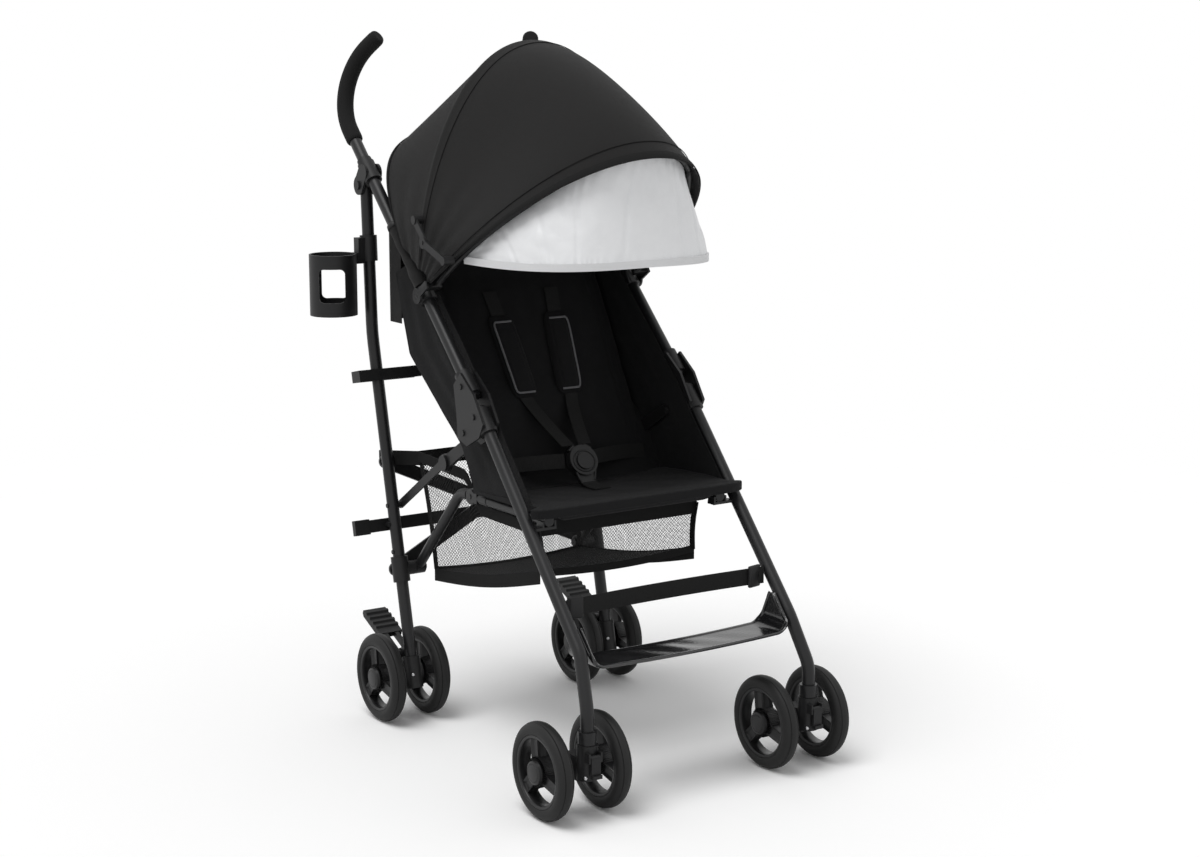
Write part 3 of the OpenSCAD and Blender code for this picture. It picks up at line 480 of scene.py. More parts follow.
def strap(points, across, width, thick):
    n = len(points) - 1
    side = Vector(across).normalized()

    def rule(u, v):
        k = min(n - 1, int(v * n))
        p = Vector(points[k]).lerp(Vector(points[k + 1]), v * n - k)
        return p + side * (u * width / 2)
    return sheet(6, max(2, n * 3), rule, thick, (width / 1000, path_length(points)), 0)


print("sheets, pillows, tubes and straps ready")

# %% [markdown]
# Finishes for the solids that stay
# Tubes, links, bows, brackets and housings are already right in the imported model, so each only needs its
# finish. The name of a node says what it is made of.

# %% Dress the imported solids
looks = {"push_tube": powder, "front_leg": powder, "rear_leg": powder, "link_tube": powder, "seat_rail": powder,
         "brace_lower": bar_coat, "x_bar": bar_coat, "lock_bar": bar_coat, "wheel": rubber, "grip": foam_skin}
for name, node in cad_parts.items():
    look = next((m for key, m in looks.items() if name.startswith(key)), plastic)
    node.data.materials.clear()
    node.data.materials.append(look)
print("dressed", len(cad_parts), "solids")

# %% [markdown]
# Canopy
# The canopy is one sheet stretched over two bows that fan out from a pivot on each push tube. A rounded
# half hoop gives the arch. In front, the arch is swept from the front bow up to the rear bow, and the taut
# cloth draws in between them. Behind the rear bow it runs straight to its rear edge at the brackets.

# %% Arch and fan rules
PIVOT_Y, PIVOT_Z = 145.4, 684.0
A_FRONT, A_TOP, A_REAR = 32.5, 88.5, 126.0
FRONT_REACH, TOP_REACH, REAR_REACH = 402, 378, 290
HALF, ARCH_RISE, ARCH_END, REAR_POWER = 199.0, 380, 5.4, 4
ARCH_STEPS = 4000


def fan(a, x, r):
    return (x, PIVOT_Y - r * cos(radians(a)), PIVOT_Z + r * sin(radians(a)))


def reach_at(a):
    k = (a - A_FRONT) / (A_TOP - A_FRONT)
    return FRONT_REACH + (TOP_REACH - FRONT_REACH) * k - 9 * sin(pi * k)


def arch_point(t, half, r, power=2.1):
    c, s = cos(t), sin(t)
    return copysign(half * abs(c) ** (2 / power), c), r * abs(s) ** (2 / power)


def sweep(k):
    return radians(180 - ARCH_END - (180 - 2 * ARCH_END) * k)


steps = [arch_point(sweep(k / ARCH_STEPS), HALF, ARCH_RISE) for k in range(ARCH_STEPS + 1)]
run = [0.0]
for a, b in zip(steps, steps[1:]):
    run.append(run[-1] + hypot(b[0] - a[0], b[1] - a[1]))
ARCH_M = run[-1] / 1000


def arch_angle(u):
    goal = (u + 1) / 2 * run[-1]
    lo, hi = 0, ARCH_STEPS
    while hi - lo > 1:
        mid = (lo + hi) // 2
        lo, hi = (mid, hi) if run[mid] < goal else (lo, mid)
    return sweep((lo + (goal - run[lo]) / (run[hi] - run[lo])) / ARCH_STEPS)


def hood(u, a, lift):
    t = arch_angle(max(-1.0, min(1.0, u)))
    if a <= A_TOP:
        taut = sin(pi * max(0.0, (a - A_FRONT) / (A_TOP - A_FRONT)))
        lift -= taut * (11 * sin(t) ** 2 + 13 * sin(2 * t) ** 2)
        return fan(a, *arch_point(t, HALF + lift, reach_at(a) + lift))
    k = (a - A_TOP) / (A_REAR - A_TOP)
    top = Vector(fan(A_TOP, *arch_point(t, HALF + lift, TOP_REACH + lift)))
    rear = Vector(fan(A_REAR, *arch_point(t, HALF + lift, REAR_REACH + lift, REAR_POWER)))
    return top.lerp(rear, k)


print("arch length", round(ARCH_M * 1000), "mm")


# %% Canopy cloth
def canopy_rule(u, v):
    a = A_FRONT + (A_REAR - A_FRONT) * v
    side = max(0.0, abs(u) - 0.55) / 0.45
    front = clamp((A_TOP - a) / 40)
    back = clamp((a - A_TOP) / 12)
    pucker = 1.0 * side * sin(a * 0.42 + u * 5) - 0.7 * (1 - side) * front * sin(u * 6.5) ** 2
    pull = -2.2 * back * sin(pi * min(1.0, (a - A_TOP) / 37)) * (0.5 + 0.5 * sin(u * 23 + a * 0.1)) * side
    ridge = 0.8 * peak(a - A_TOP, 1.1)
    return hood(u, a, -1.0 + pucker + pull + ridge)


hood_cloth = sheet(160, 140, canopy_rule, 1.3, (ARCH_M, 0.56))
drape(hood_cloth, "canopy_cloth", canopy_cloth, "seat", HOOD_FOLD)
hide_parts("canopy_fabric")
cloth_cut(hood_cloth, ARCH_M, 0.62)
print("canopy cloth", len(hood_cloth.data.polygons), "faces")


# %% Canopy hem and seams
HEM = 0.012


def hem_rule(a0, a1, lift):
    def rule(u, v):
        return hood(u, a0 + (a1 - a0) * v, lift + 0.6 * sin(pi * v))
    return rule


for name, a0, a1, lift in (("canopy_hem", 32.45, 34.2, 0.3), ("canopy_rear_hem", 124.4, A_REAR, 0.2)):
    hem = sheet(160, 6, hem_rule(a0, a1, lift), 1.0, (ARCH_M, HEM))
    drape(hem, name, binding, "seat", HOOD_FOLD)
    cloth_cut(hem, ARCH_M, HEM)
for name, a in (("canopy_seam_bow", 84.8), ("canopy_seam_hem", 37.0)):
    seam = tube([hood(k / 60 - 1, a, -0.25) for k in range(2, 119)], 0.7, 6)
    drape(seam, name, binding, "seat", HOOD_FOLD)
print("hems and seams")

# %% [markdown]
# Sun visor
# A silver-backed sheet is gathered onto the front bow and hangs as a stiff brim. Its lower edge is bound
# with a pale tape. The gathers start at the bow and fade downwards, small creases are pushed into the sheet
# by a sum of waves, and FOLDS lists where the sharper upright folds cross it.

# %% Bow line
BOW, SIDE_R, TURN = 180.0, 500.0, 34.0
A_BOW, BOW_REACH = A_FRONT + 1.8, 391.0
BOW_GAP, VISOR_START = 5.0, 110
TOP_R = (BOW - SIDE_R * (1 - cos(radians(TURN)))) / cos(radians(TURN))
LEG = BOW_REACH - TOP_R * (1 - sin(radians(TURN))) - SIDE_R * sin(radians(TURN))


def bow_inside(n):
    c, s = cos(radians(n)), sin(radians(n))
    if n < TURN:
        return (SIDE_R - BOW_GAP) * c - SIDE_R + BOW, LEG + (SIDE_R - BOW_GAP) * s
    return (TOP_R - BOW_GAP) * c, BOW_REACH - TOP_R + (TOP_R - BOW_GAP) * s


LOW_N = degrees(asin((VISOR_START - LEG) / SIDE_R))
print("bow legs", round(LEG), "mm, top radius", round(TOP_R), "mm")


# %% Visor sheet
BRIM_Y, BRIM_Z, BRIM_DEEP, BRIM_POWER = 50, 741, 228, 3
SIDE_SHARE = 0.66
FOLDS = (-0.71, -0.52, -0.34, -0.08, 0.16, 0.31, 0.47, 0.62, 0.8)


def visor_low(u):
    x, y = arch_point(pi / 2 * (1 - abs(u)), BOW - 8, BRIM_DEEP, BRIM_POWER)
    return Vector((copysign(x, u), BRIM_Y - y, BRIM_Z + 5 * (1 - abs(u))))


def visor_top(u):
    q = 1 - abs(u)
    if q < SIDE_SHARE:
        n = LOW_N + (TURN - LOW_N) * q / SIDE_SHARE
    else:
        n = TURN + (90 - TURN) * (q - SIDE_SHARE) / (1 - SIDE_SHARE)
    x, r = bow_inside(n)
    return Vector(fan(A_BOW, copysign(x, u), r))


def visor_rule(u, v):
    low, top = visor_low(u), visor_top(u)
    p = low.lerp(top, v)
    inward = Vector((-p.x, 100 - p.y, 0)).normalized()
    gather = 1.1 * sin(u * 92 + 2.6 * sin(u * 17)) * max(0.0, v - 0.6) * 2.2 * min(1.0, (1 - v) * 9)
    hollow = 1.5 * sin(u * 9 + v * 3) + 0.7 * sin(u * 21 - v * 5) + 0.4 * sin(u * 43 + v * 19)
    folds = sum(2.0 * peak(u - c - 0.05 * c * v, 0.014) for c in FOLDS) * sin(pi * v) ** 0.4
    crimp = 0.8 * sin(u * 150 + 3 * sin(u * 23)) * max(0.0, 0.16 - v) * 6
    corner = 11 * peak(abs(u) - 0.62, 0.2) * sin(pi * v)
    depth = (2 + hollow) * sin(pi * v) ** 0.7 + gather + folds + crimp + 1.4 - corner
    return p + inward * depth * min(1.0, (1 - abs(u)) * 12)


visor_sheet = sheet(300, 60, visor_rule, 0.7, (0.62, 0.17), 0)
drape(visor_sheet, "visor_sheet", silver_sheet, "visor", HOOD_FOLD)
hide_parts("visor")
cloth_cut(visor_sheet, 0.7, 0.2)
pale = woven("pale tape", (0.72, 0.73, 0.74), (0.86, 0.86, 0.87), 0.0012, 0.0002, rough=0.5, spec=0.35)
rim = [visor_low(k / 60 - 1) + Vector((0, 1.2, 3.6)) for k in range(121)]
edge = strap(rim, UPRIGHT, 11, 2.4)
drape(edge, "visor_tape", pale, "visor", HOOD_FOLD)
cloth_cut(edge, 0.011, path_length(rim))
print("visor", len(visor_sheet.data.polygons), "faces")

# %% [markdown]
# Canopy bows
# Both bows are right in the imported model, but they squeeze narrower when the frame folds, as the cloth
# does. A merged copy of each solid, with a mesh of its own, stands in for it.

# %% Bows
for name, body in (("canopy_rear_bow", "seat"), ("canopy_front_bow", "canopy_front")):
    wire = bpy.data.objects.new(name + "_wire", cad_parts[name].data.copy())
    scene.collection.objects.link(wire)
    weld(wire)
    settle(wire, name + "_wire", plastic, body, 40, HOOD_FOLD)
    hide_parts(name)
print("bows", 2)

# %% [markdown]
# Backrest and seat cushion
# Both are thin padded panels. A subdivided block is pulled towards a rounded slab, so that every edge is
# soft, and each point then goes to its place between the front and back faces of the panel. The crown and
# the sewn channels are part of that rule, so they show in the outline as well as in the shading. A strip of
# cloth closes the crease between the two.

# %% Backrest
BACK_MID, BACK_TALL, BACK_SLOPE = 630, 227, 0.535


def back_y(z):
    return 100 + (z - 525) * BACK_SLOPE


def back_w(z):
    return 156 - 10 * max(0.0, (z - 560) / 300) ** 2


def crown(u, v):
    channel = sum(3 * peak(v - c, 0.05) for c in (-0.35, 0.3))
    piped = 1.6 * peak(abs(u) - 0.86, 0.02)
    return 9 * (1 - abs(u) ** 4) * (1 - abs(v) ** 6) - channel - piped


def backrest_rule(u, v, w):
    z = BACK_MID + BACK_TALL * v
    front = back_y(z) + 8 - crown(u, v) + 0.6
    rear = back_y(z) + 14 + 11.5 * (1 - abs(u) ** 6)
    crease = 0.7 * sin(u * 21 + v * 13) * sin(v * 17 - u * 7) * (1 - abs(v) ** 4)
    return (u * (back_w(z) - 0.4), front + (rear - front) * (w + 1) / 2 + crease * (1 - w) / 2, z)


backrest = pillow(90, 9, backrest_rule, (0.31, 0.53))
drape(backrest, "backrest_cushion", seat_cloth, "backrest", SEAT_FOLD)
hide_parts("seat_back")
print("backrest", len(backrest.data.polygons), "faces")


# %% Seat cushion
SEAT_FRONT, SEAT_LONG = -166, 190


def base_z(u, y):
    t = (y - SEAT_FRONT) / SEAT_LONG
    return 411 - 8 * t + 3 * sin(pi * t) - 9 * (1 - abs(u) ** 3) * min(1, t * 3)


def base_rule(u, v, w):
    y = -62 + 103.6 * v
    half = 170 + min(20.0, max(0.0, (-142 - y) * 2.2))
    top = base_z(u, y) - 0.2 + 0.5 * sin(u * 17 + v * 9) * (1 - v * v)
    t = (y - SEAT_FRONT) / SEAT_LONG
    rail = clamp((abs(u) - 0.74) / 0.06)
    low = 385.4 - 3 * t + (13.6 + 3 * t) * rail
    front = clamp((-143 - y) / 7)
    low += (394.5 - low) * front
    return (u * half, y, top + (low - top) * (w + 1) / 2)


seat = pillow(70, 12, lambda u, v, w: base_rule(u, w, -v), (0.36, 0.21))
drape(seat, "seat_cushion", seat_cloth, "seat", SEAT_FOLD)
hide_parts("seat_base")
print("seat", len(seat.data.polygons), "faces")


# %% Cloth in the crease of the seat
def crease_rule(u, v):
    y = 22 + 34 * v
    return (u * 166.6, y, 396.5 + 52 * max(0.0, v - 0.3) ** 1.4 - 2 * (1 - u * u))


crease = sheet(40, 10, crease_rule, 0.8, (0.333, 0.042), 0)
drape(crease, "seat_crease", seat_cloth, "seat", SEAT_FOLD)
cloth_cut(crease, 0.333, 0.045)
print("seat crease")

# %% [markdown]
# Side panels, sling and curtain
# Cloth panels close the sides of the seat between the tubes and the backrest, a sling joins them behind
# it, gussets close the gaps beside it, and a curtain hangs from the back of the canopy. Each is a sheet
# between two edge lines. The sling and the curtain ride on the backrest, so they go with it when it reclines.

# %% Panels between two edge lines
PANEL_X = 168.2


def along(points, v):
    points = [Vector((0, *p)) if len(p) == 2 else Vector(p) for p in points]
    runs = [(b - a).length for a, b in zip(points, points[1:])]
    goal = v * sum(runs)
    for a, b, r in zip(points, points[1:], runs):
        if goal <= r:
            return a.lerp(b, goal / r)
        goal -= r
    return points[-1]


tube_edge = [(190, 740), (92, 644), (-6, 547), (-58, 487), (-110, 429), (-136, 400)]
rear_edge = [(272, 706), (255, 651), (231, 583), (73, 464), (40, 414), (40, 397)]


def panel_rule(side):
    def rule(u, v):
        p = along(tube_edge, v).lerp(along(rear_edge, v), (u * side + 1) / 2)
        belly = 1.2 * sin(pi * v) * (1 - u * u)
        pleat = 1.3 * sin(u * 11 + 2 * sin(v * 4)) * (1 - u * u) * sin(pi * v)
        return (side * (PANEL_X - belly - pleat - 0.35 * sin(v * 25 + u * 5)), p.y, p.z)
    return rule


for side, tag in SIDES:
    panel = sheet(30, 60, panel_rule(side), 0.7, (0.16, 0.38), 0)
    drape(panel, "side_panel_" + tag, seat_cloth, "seat", SIDE_FOLD)
    cloth_cut(panel, 0.2, 0.42)
print("side panels", 2)


# %% Sling behind the backrest and curtain under the canopy
def sling_rule(u, v):
    p = along(rear_edge[:4], v)
    x = u * (PANEL_X + 0.2)
    return (x, p.y + 6 * (1 - u * u) * sin(pi * v), max(p.z, 500) + 0.6 * sin(u * 19) * sin(pi * v))


sling = sheet(60, 40, lambda u, v: sling_rule(u, v * 0.82), 0.7, (0.337, 0.22), 0)
drape(sling, "seat_sling", seat_cloth, "backrest", SIDE_FOLD)
cloth_cut(sling, 0.337, 0.24)


def curtain_rule(u, v):
    s = u * 205
    k = clamp((abs(s) - 132) / 40)
    x = copysign(min(abs(s), 132 + 31 * sin(k * pi / 2)), s)
    y = 322 - 24 * (1 - cos(k * pi / 2)) - max(0.0, abs(s) - 172) * 1.0
    r = REAR_REACH * (1 - (abs(x) / HALF) ** REAR_POWER) ** (1 / REAR_POWER)
    top = Vector(fan(A_REAR - 0.3, x, r - 1.6))
    drop = min(1.0, v / 0.2)
    blend = drop * drop * (3 - 2 * drop)
    z = top.z + (626 - top.z) * v
    wave = 2.2 * sin(s * 0.055 + 1) * min(1.0, v * 2)
    return (x, top.y + (y + wave * (1 - k) - top.y) * blend, z)


curtain = sheet(110, 50, curtain_rule, 0.8, (0.41, 0.29), 0)
drape(curtain, "curtain_cloth", canopy_cloth, "backrest", SIDE_FOLD)
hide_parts("rear_curtain")
cloth_cut(curtain, 0.41, 0.3)


def gusset_rule(side):
    def rule(u, v):
        z = 704 - 304 * v
        near = Vector((side * (back_w(z) - 9), back_y(z) + 9, z))
        far = along(rear_edge, v)
        far = Vector((side * PANEL_X, far.y, far.z))
        p = near.lerp(far, (u * side + 1) / 2)
        return (p.x, p.y + 1.2 * sin(v * 21) * (1 - u * u), p.z)
    return rule


for side, tag in SIDES:
    gusset = sheet(14, 60, gusset_rule(side), 0.7, (0.06, 0.36), 0)
    drape(gusset, "back_gusset_" + tag, seat_cloth, "seat", SIDE_FOLD)
    cloth_cut(gusset, 0.12, 0.42)
print("sling, curtain and gussets")

# %% [markdown]
# Harness
# Two padded covers with grey piping lie on the backrest, belts run from them to a central buckle, and
# one belt comes up between the legs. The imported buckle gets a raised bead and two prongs.


# %% Shoulder pads and their piping
def pad_face(side, u, v, lift=0.0):
    z = 582 + 60 * v
    edge = 9 * (1 - abs(u) ** 4) * (1 - abs(v) ** 6)
    stitch = 1.2 * peak(abs(u) - 0.62, 0.05) * (abs(v) < 0.8)
    x = side * (45.5 + 5.5 * v) + 23 * u * (1 - 0.12 * v ** 6)
    return Vector((x, back_y(z) - 4.5 - edge + stitch - lift, z))


def pad_rule(side):
    def rule(u, v, w):
        front = pad_face(side, u, v)
        back = back_y(front.z) - 2.2
        return (front.x, front.y + (back - front.y) * (w + 1) / 2, front.z)
    return rule


for side, tag in SIDES:
    pad = pillow(36, 8, pad_rule(side), (0.044, 0.14))
    drape(pad, "shoulder_pad_" + tag, seat_cloth, "backrest", SEAT_FOLD)
    if side < 0:
        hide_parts("shoulder_pads")
    route = [(0.6 - 1.3 * k / 10, 0.86) for k in range(10, -1, -1)] + [(0.72, 0.82), (0.76, 0.74)]
    route += [(0.76, 0.74 - 1.48 * k / 24) for k in range(1, 24)]
    route += [(0.76, -0.74), (0.72, -0.82)] + [(0.6 - 1.3 * k / 10, -0.86) for k in range(11)]
    piping = tube([pad_face(side, side * u, v, 0.4) for u, v in route], 1.7, 8)
    drape(piping, "pad_piping_" + tag, grey_piping, "backrest", SEAT_FOLD)
print("pads and piping")


# %% Belts
def face_y(x, z):
    return back_y(z) + 8 - crown(x / back_w(z), (z - BACK_MID) / (BACK_TALL + 1))


BELT_LIFT = 2
for side, tag in SIDES:
    upper, lower, waist = [], [], []
    for s in (k / 8 for k in range(9)):
        z = 642.5 + 35 * s
        upper.append((side * (51.5 + 5 * s), face_y(side * 54, z) - BELT_LIFT, z))
    for s in (k / 12 for k in range(13)):
        z = 456 + 65.5 * s
        lower.append((side * (15 + 26 * s), face_y(side * 30, z) - BELT_LIFT - 45 * (1 - s) ** 1.5, z))
        x, z = side * (149 - 124 * s), 427 + 8 * s
        waist.append((x, face_y(x, z) - BELT_LIFT - 41 * s ** 2, z))
    lines = (("belt_upper_", upper, LEVEL, 24), ("belt_lower_", lower, LEVEL, 22),
             ("belt_waist_", waist, SLOPED, 22))
    for name, line, across, width in lines:
        belt = strap(line, across, width, 1.5)
        drape(belt, name + tag, webbing, "backrest", SEAT_FOLD)
        cloth_cut(belt, width / 1000, path_length(line))
        if name == "belt_upper_" and side < 0:
            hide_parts("harness_straps")
crotch = []
for s in (k / 10 for k in range(11)):
    y = -56 + 38 * s
    crotch.append((0, y, base_z(0.1, y) + 1.6 + 5.5 * s ** 3))
belt = strap(crotch, LEVEL, 28, 1.6)
drape(belt, "belt_crotch", webbing, "backrest", SEAT_FOLD)
cloth_cut(belt, 0.028, path_length(crotch))
print("belts")


# %% Buckle trim
BUCKLE_TILT = radians(62)


def on_buckle(x, w, n):
    c, s = cos(BUCKLE_TILT), sin(BUCKLE_TILT)
    return Vector((x, back_y(430) - 42 + w * c - n * s, 431 + w * s + n * c))


turns = [2 * pi * k / 48 for k in range(49)]
bead = tube([on_buckle(18.4 * cos(a), -2 + 16.4 * sin(a), 12.9) for a in turns], 1.3, 10)
settle(bead, "buckle_bead", plastic, "backrest", 45)
for side, tag in SIDES:
    shares = [k / 6 for k in range(7)]
    path = [on_buckle(side * (17 - 5 * s), -17 - 15 * s, 9.5 - 1.5 * s) for s in shares]
    settle(tube(path, 2.2, 10), "buckle_prong_" + tag, plastic, "backrest", 45)
print("buckle trim", 3)

# %% [markdown]
# Basket
# A shopping basket of net hangs between the seat links. The net is one sagging sheet for the tray and
# its two sides, with a front and a back wall, a floor of plain cloth and woven binding along every edge. Two
# ties run back to the rear legs.

# %% Basket net
BASKET_FRONT, BASKET_BACK, BASKET_HALF = -98, 215, 136.5
BASKET_LONG = BASKET_BACK - BASKET_FRONT
BACK_LEAN = 40
ENDS = ((BASKET_FRONT, "front"), (BASKET_BACK, "back"))


def tray_z(y):
    share = (y - BASKET_FRONT) / BASKET_LONG
    return 300 - 62 * share - 8 * sin(pi * share)


def rim_z(y):
    return 372 + 46 * clamp((y - 62) / 44) + 6 * clamp((y - 106) / 149)


def tray(u, y):
    a, k = abs(u), copysign(1, u)
    low, rim = tray_z(y), rim_z(y)
    if a > 0.5:
        s = (a - 0.5) * 2
        lean = BACK_LEAN * s * clamp((y - 140) / 75)
        return (k * (BASKET_HALF + 6 * s - 3 * sin(pi * s)), y + lean, low + (rim - low) * s)
    return (k * BASKET_HALF * a * 2, y, low - 7 * (1 - (a * 2) ** 2))


def floor_rule(u, v):
    return Vector(tray(u * 0.5, BASKET_FRONT + 1 + (BASKET_LONG - 2) * v)) + Vector((0, 0, 1.2))


def wall_rule(end):
    def rule(u, v):
        low, top = tray(u * 0.5, end)[2], rim_z(end) - 2
        dip = 5 * sin(pi * v) * (1 - u * u)
        y = end + BACK_LEAN * v - dip if end > 0 else end + dip
        return (u * (BASKET_HALF + 5.5 * v), y, low + (top - low) * v)
    return rule


bag = sheet(72, 48, lambda u, v: tray(u, BASKET_FRONT + BASKET_LONG * v), 0, (0.5, 0.34))
drape(bag, "basket_net", net, "seat", SEAT_FOLD)
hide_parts("basket")
cloth_cut(bag, 0.5, 0.34, 1)
floor_cloth = sheet(40, 40, floor_rule, 0.8, (0.27, 0.31), 0)
drape(floor_cloth, "basket_floor", seat_cloth, "seat", SEAT_FOLD)
cloth_cut(floor_cloth, 0.275, 0.32)
for (end, name), tall in zip(ENDS, (0.075, 0.19)):
    wall = sheet(60, 20, wall_rule(end), 0, (0.28, tall))
    drape(wall, "basket_" + name + "_net", net, "seat", SEAT_FOLD)
    cloth_cut(wall, 0.285, tall, 1)
print("basket net")


# %% Basket binding
def bind(name, points, across, width):
    band = strap(points, across, width, 1.4)
    drape(band, name, binding, "seat", SEAT_FOLD)
    cloth_cut(band, width / 1000, path_length(points))


def edge_line(u, shift):
    ys = [BASKET_FRONT + BASKET_LONG * k / 30 for k in range(31)]
    return [Vector(tray(u, y)) + Vector(shift) for y in ys]


for side, tag in SIDES:
    bind("basket_rim_" + tag, edge_line(side, (side * 0.2, 0, -8)), UPRIGHT, 17)
    bind("basket_low_" + tag, edge_line(side * 0.5, (side * 1.6, 0, -7)), UPRIGHT, 20)
    to_leg = [(side * (141 + 31 * k / 8), 252 + 80 * k / 8, 412 - 8 * k / 8) for k in range(9)]
    bind("basket_tie_" + tag, to_leg, UPRIGHT, 23)
    for end, name in ENDS:
        post = [Vector(tray(side * (0.5 + 0.5 * k / 12), end)) - Vector((side, 0, 0)) for k in range(13)]
        bind("basket_" + name + "_post_" + tag, post, (0, 1, 0), 12)
for (end, name), shift, across, width in zip(ENDS, ((0, 0, -2), (0, -1, -9)), (UPRIGHT, SLOPED), (28, 24)):
    top = [Vector(wall_rule(end)(k / 15 - 1, 1.0)) + Vector(shift) for k in range(31)]
    bind("basket_" + name + "_rim", top, across, width)
for end, name in ENDS:
    bind("basket_" + name + "_low", [tray(k / 30 - 0.5, end) for k in range(31)], UPRIGHT, 11)
print("basket binding")

# %% [markdown]
# Foot tray and calf strap
# The feet rest on one glossy moulded tray. Its ends turn up into wings that meet the front legs, so its
# section is laid out as a path, flat, then a quarter turn, then straight up, and the sheet follows it with
# a rolled lip along both long edges. A webbing strap with slide buckles crosses behind the calves.


# %% Foot tray
TRAY_HALF, TRAY_BEND, TRAY_LOW = 174.1, 24.0, 205.0
WALL = TRAY_BEND * pi / 2
WING = 29
SPAN = TRAY_HALF - TRAY_BEND + WALL + WING


def tray_side(s):
    flat = TRAY_HALF - TRAY_BEND
    if s < flat:
        return s, TRAY_LOW - 3 * (1 - (s / flat) ** 2)
    if s < flat + WALL:
        t = (s - flat) / TRAY_BEND
        return flat + TRAY_BEND * sin(t), TRAY_LOW + TRAY_BEND * (1 - cos(t))
    return TRAY_HALF, TRAY_LOW + TRAY_BEND + s - flat - WALL


def tray_rule(u, v):
    x, z = tray_side(abs(u) * SPAN)
    front, rear = -289 + max(0.0, z - 220) * 0.93, -222 - max(0.0, z - 212) * 0.47
    lip = 2.6 * peak(v - 0.03, 0.035) + 1.8 * peak(v - 0.97, 0.035)
    ripple = 0.5 * sin(u * 23 + v * 5) * sin(v * pi) * max(0.0, 1 - abs(u) * 1.3)
    level = clamp((TRAY_LOW + TRAY_BEND - z) / TRAY_BEND)
    x = copysign(x - 0.2 - (lip + 0.3) * (1 - level), u)
    return (x, front + (rear - front) * v, z + 0.2 + (lip + ripple) * level)


foot = sheet(220, 48, tray_rule, 3.4, (0.42, 0.067), 1.0)
shape(foot, "BEVEL", width=0.0012, segments=2, limit_method="ANGLE", angle_limit=radians(60))
settle(foot, "foot_tray", film, "seat", 40, SIDE_FOLD)
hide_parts("footrest")
print("foot tray", len(foot.data.polygons), "faces")


# %% Calf strap
CALF_HALF, CALF_Y, CALF_Z = 173.8, -225, 280.5


def calf_point(u):
    hang = 1 - u * u
    return (CALF_HALF * u, CALF_Y + 20 * hang, CALF_Z - 4 * hang)


line = [calf_point(k / 16 - 1) for k in range(33)]
calf = strap(line, UPRIGHT, 25, 1.8)
drape(calf, "calf_strap_web", webbing, "seat", SIDE_FOLD)
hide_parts("calf_strap")
cloth_cut(calf, 0.025, path_length(line))


def slide_buckle(x, y, z, turn):
    fresh()
    bpy.ops.mesh.primitive_cube_add(size=1, location=mm(x, y, z), rotation=(0, 0, turn))
    piece = bpy.context.object
    piece.scale = (0.024, 0.006, 0.033)
    bpy.ops.object.transform_apply(location=False, rotation=False, scale=True)
    soften(piece, 0.0025, 3)
    return piece


for side, tag in SIDES:
    loop = slide_buckle(side * 158, -222.5, 280, side * 0.2)
    settle(loop, "calf_buckle_" + tag, plastic, "seat", 40, SIDE_FOLD)
print("calf strap")

# %% [markdown]
# Wheels
# A wheel is turned, like a bowl on a lathe: a closed outline of tyre and rim is spun about the axle. The
# three spokes are bars with a channel pressed into each side, and a round cap closes the hub. One wheel is
# modelled and copied to the eight axle ends, each with its own mesh. Four copies are mirrored, so that in a
# pair each cap faces away from the other wheel.


# %% Turning helper
def turned(outline, steps=72):
    fresh()
    bpy.ops.mesh.primitive_circle_add(vertices=len(outline), radius=1)
    piece = bpy.context.object
    for p, (r, x) in zip(piece.data.vertices, outline):
        p.co = (x / 1000, 0, r / 1000)
    edit_all(piece)
    bpy.ops.mesh.spin(steps=steps, angle=2 * pi, center=(0, 0, 0), axis=(1, 0, 0))
    return outward(piece)


half_outline = [(47, -8.6), (48, -10.2), (50.4, -11), (51.8, -10.9), (52.2, -10.2), (52.6, -11.2),
                (56, -12.3), (60, -12.3), (63.5, -11), (66.6, -8.7), (68.2, -6.9), (68.1, -6.3),
                (67.5, -5.9), (68.9, -5.3), (69.8, -2.6)]
tyre_outline = half_outline + [(70, 0)] + [(r, -x) for r, x in reversed(half_outline)]
print("wheel outline", len(tyre_outline), "points")


# %% One wheel
SPOKE_SIZE, SPOKE_OUT, SPOKE_TAPER = (0.0166, 0.0185, 0.04), 0.0287, 0.034
HUB_R, HUB_LONG, RIM_EDGE = 0.0182, 0.0236, 0.052
CAP_STEPS = ((0.001, -0.001), (0.0005, 0.0048), (0.0034, 0.0013), (0.0005, -0.0006), (0.0005, 0.0008))


def spoke(turn):
    fresh()
    bpy.ops.mesh.primitive_cube_add(size=1)
    bar = bpy.context.object
    bar.dimensions = SPOKE_SIZE
    bpy.ops.object.transform_apply(location=False, rotation=False, scale=True)
    bpy.ops.object.mode_set(mode="EDIT")
    bpy.ops.mesh.select_all(action="DESELECT")
    fresh()
    for face in bar.data.polygons:
        face.select = abs(face.normal.x) > 0.9
    bpy.ops.object.mode_set(mode="EDIT")
    bpy.ops.mesh.inset(thickness=0.0042, depth=-0.0028, use_individual=True)
    soften(bar, 0.0007, 2)
    bar.data.transform(Matrix.Translation((0, 0, SPOKE_OUT)))
    for p in bar.data.vertices:
        p.co.x *= 1 + 0.55 * max(0.0, (SPOKE_TAPER - p.co.z) / SPOKE_TAPER)
    bar.data.transform(Matrix.Rotation(turn, 4, "X"))
    return bar


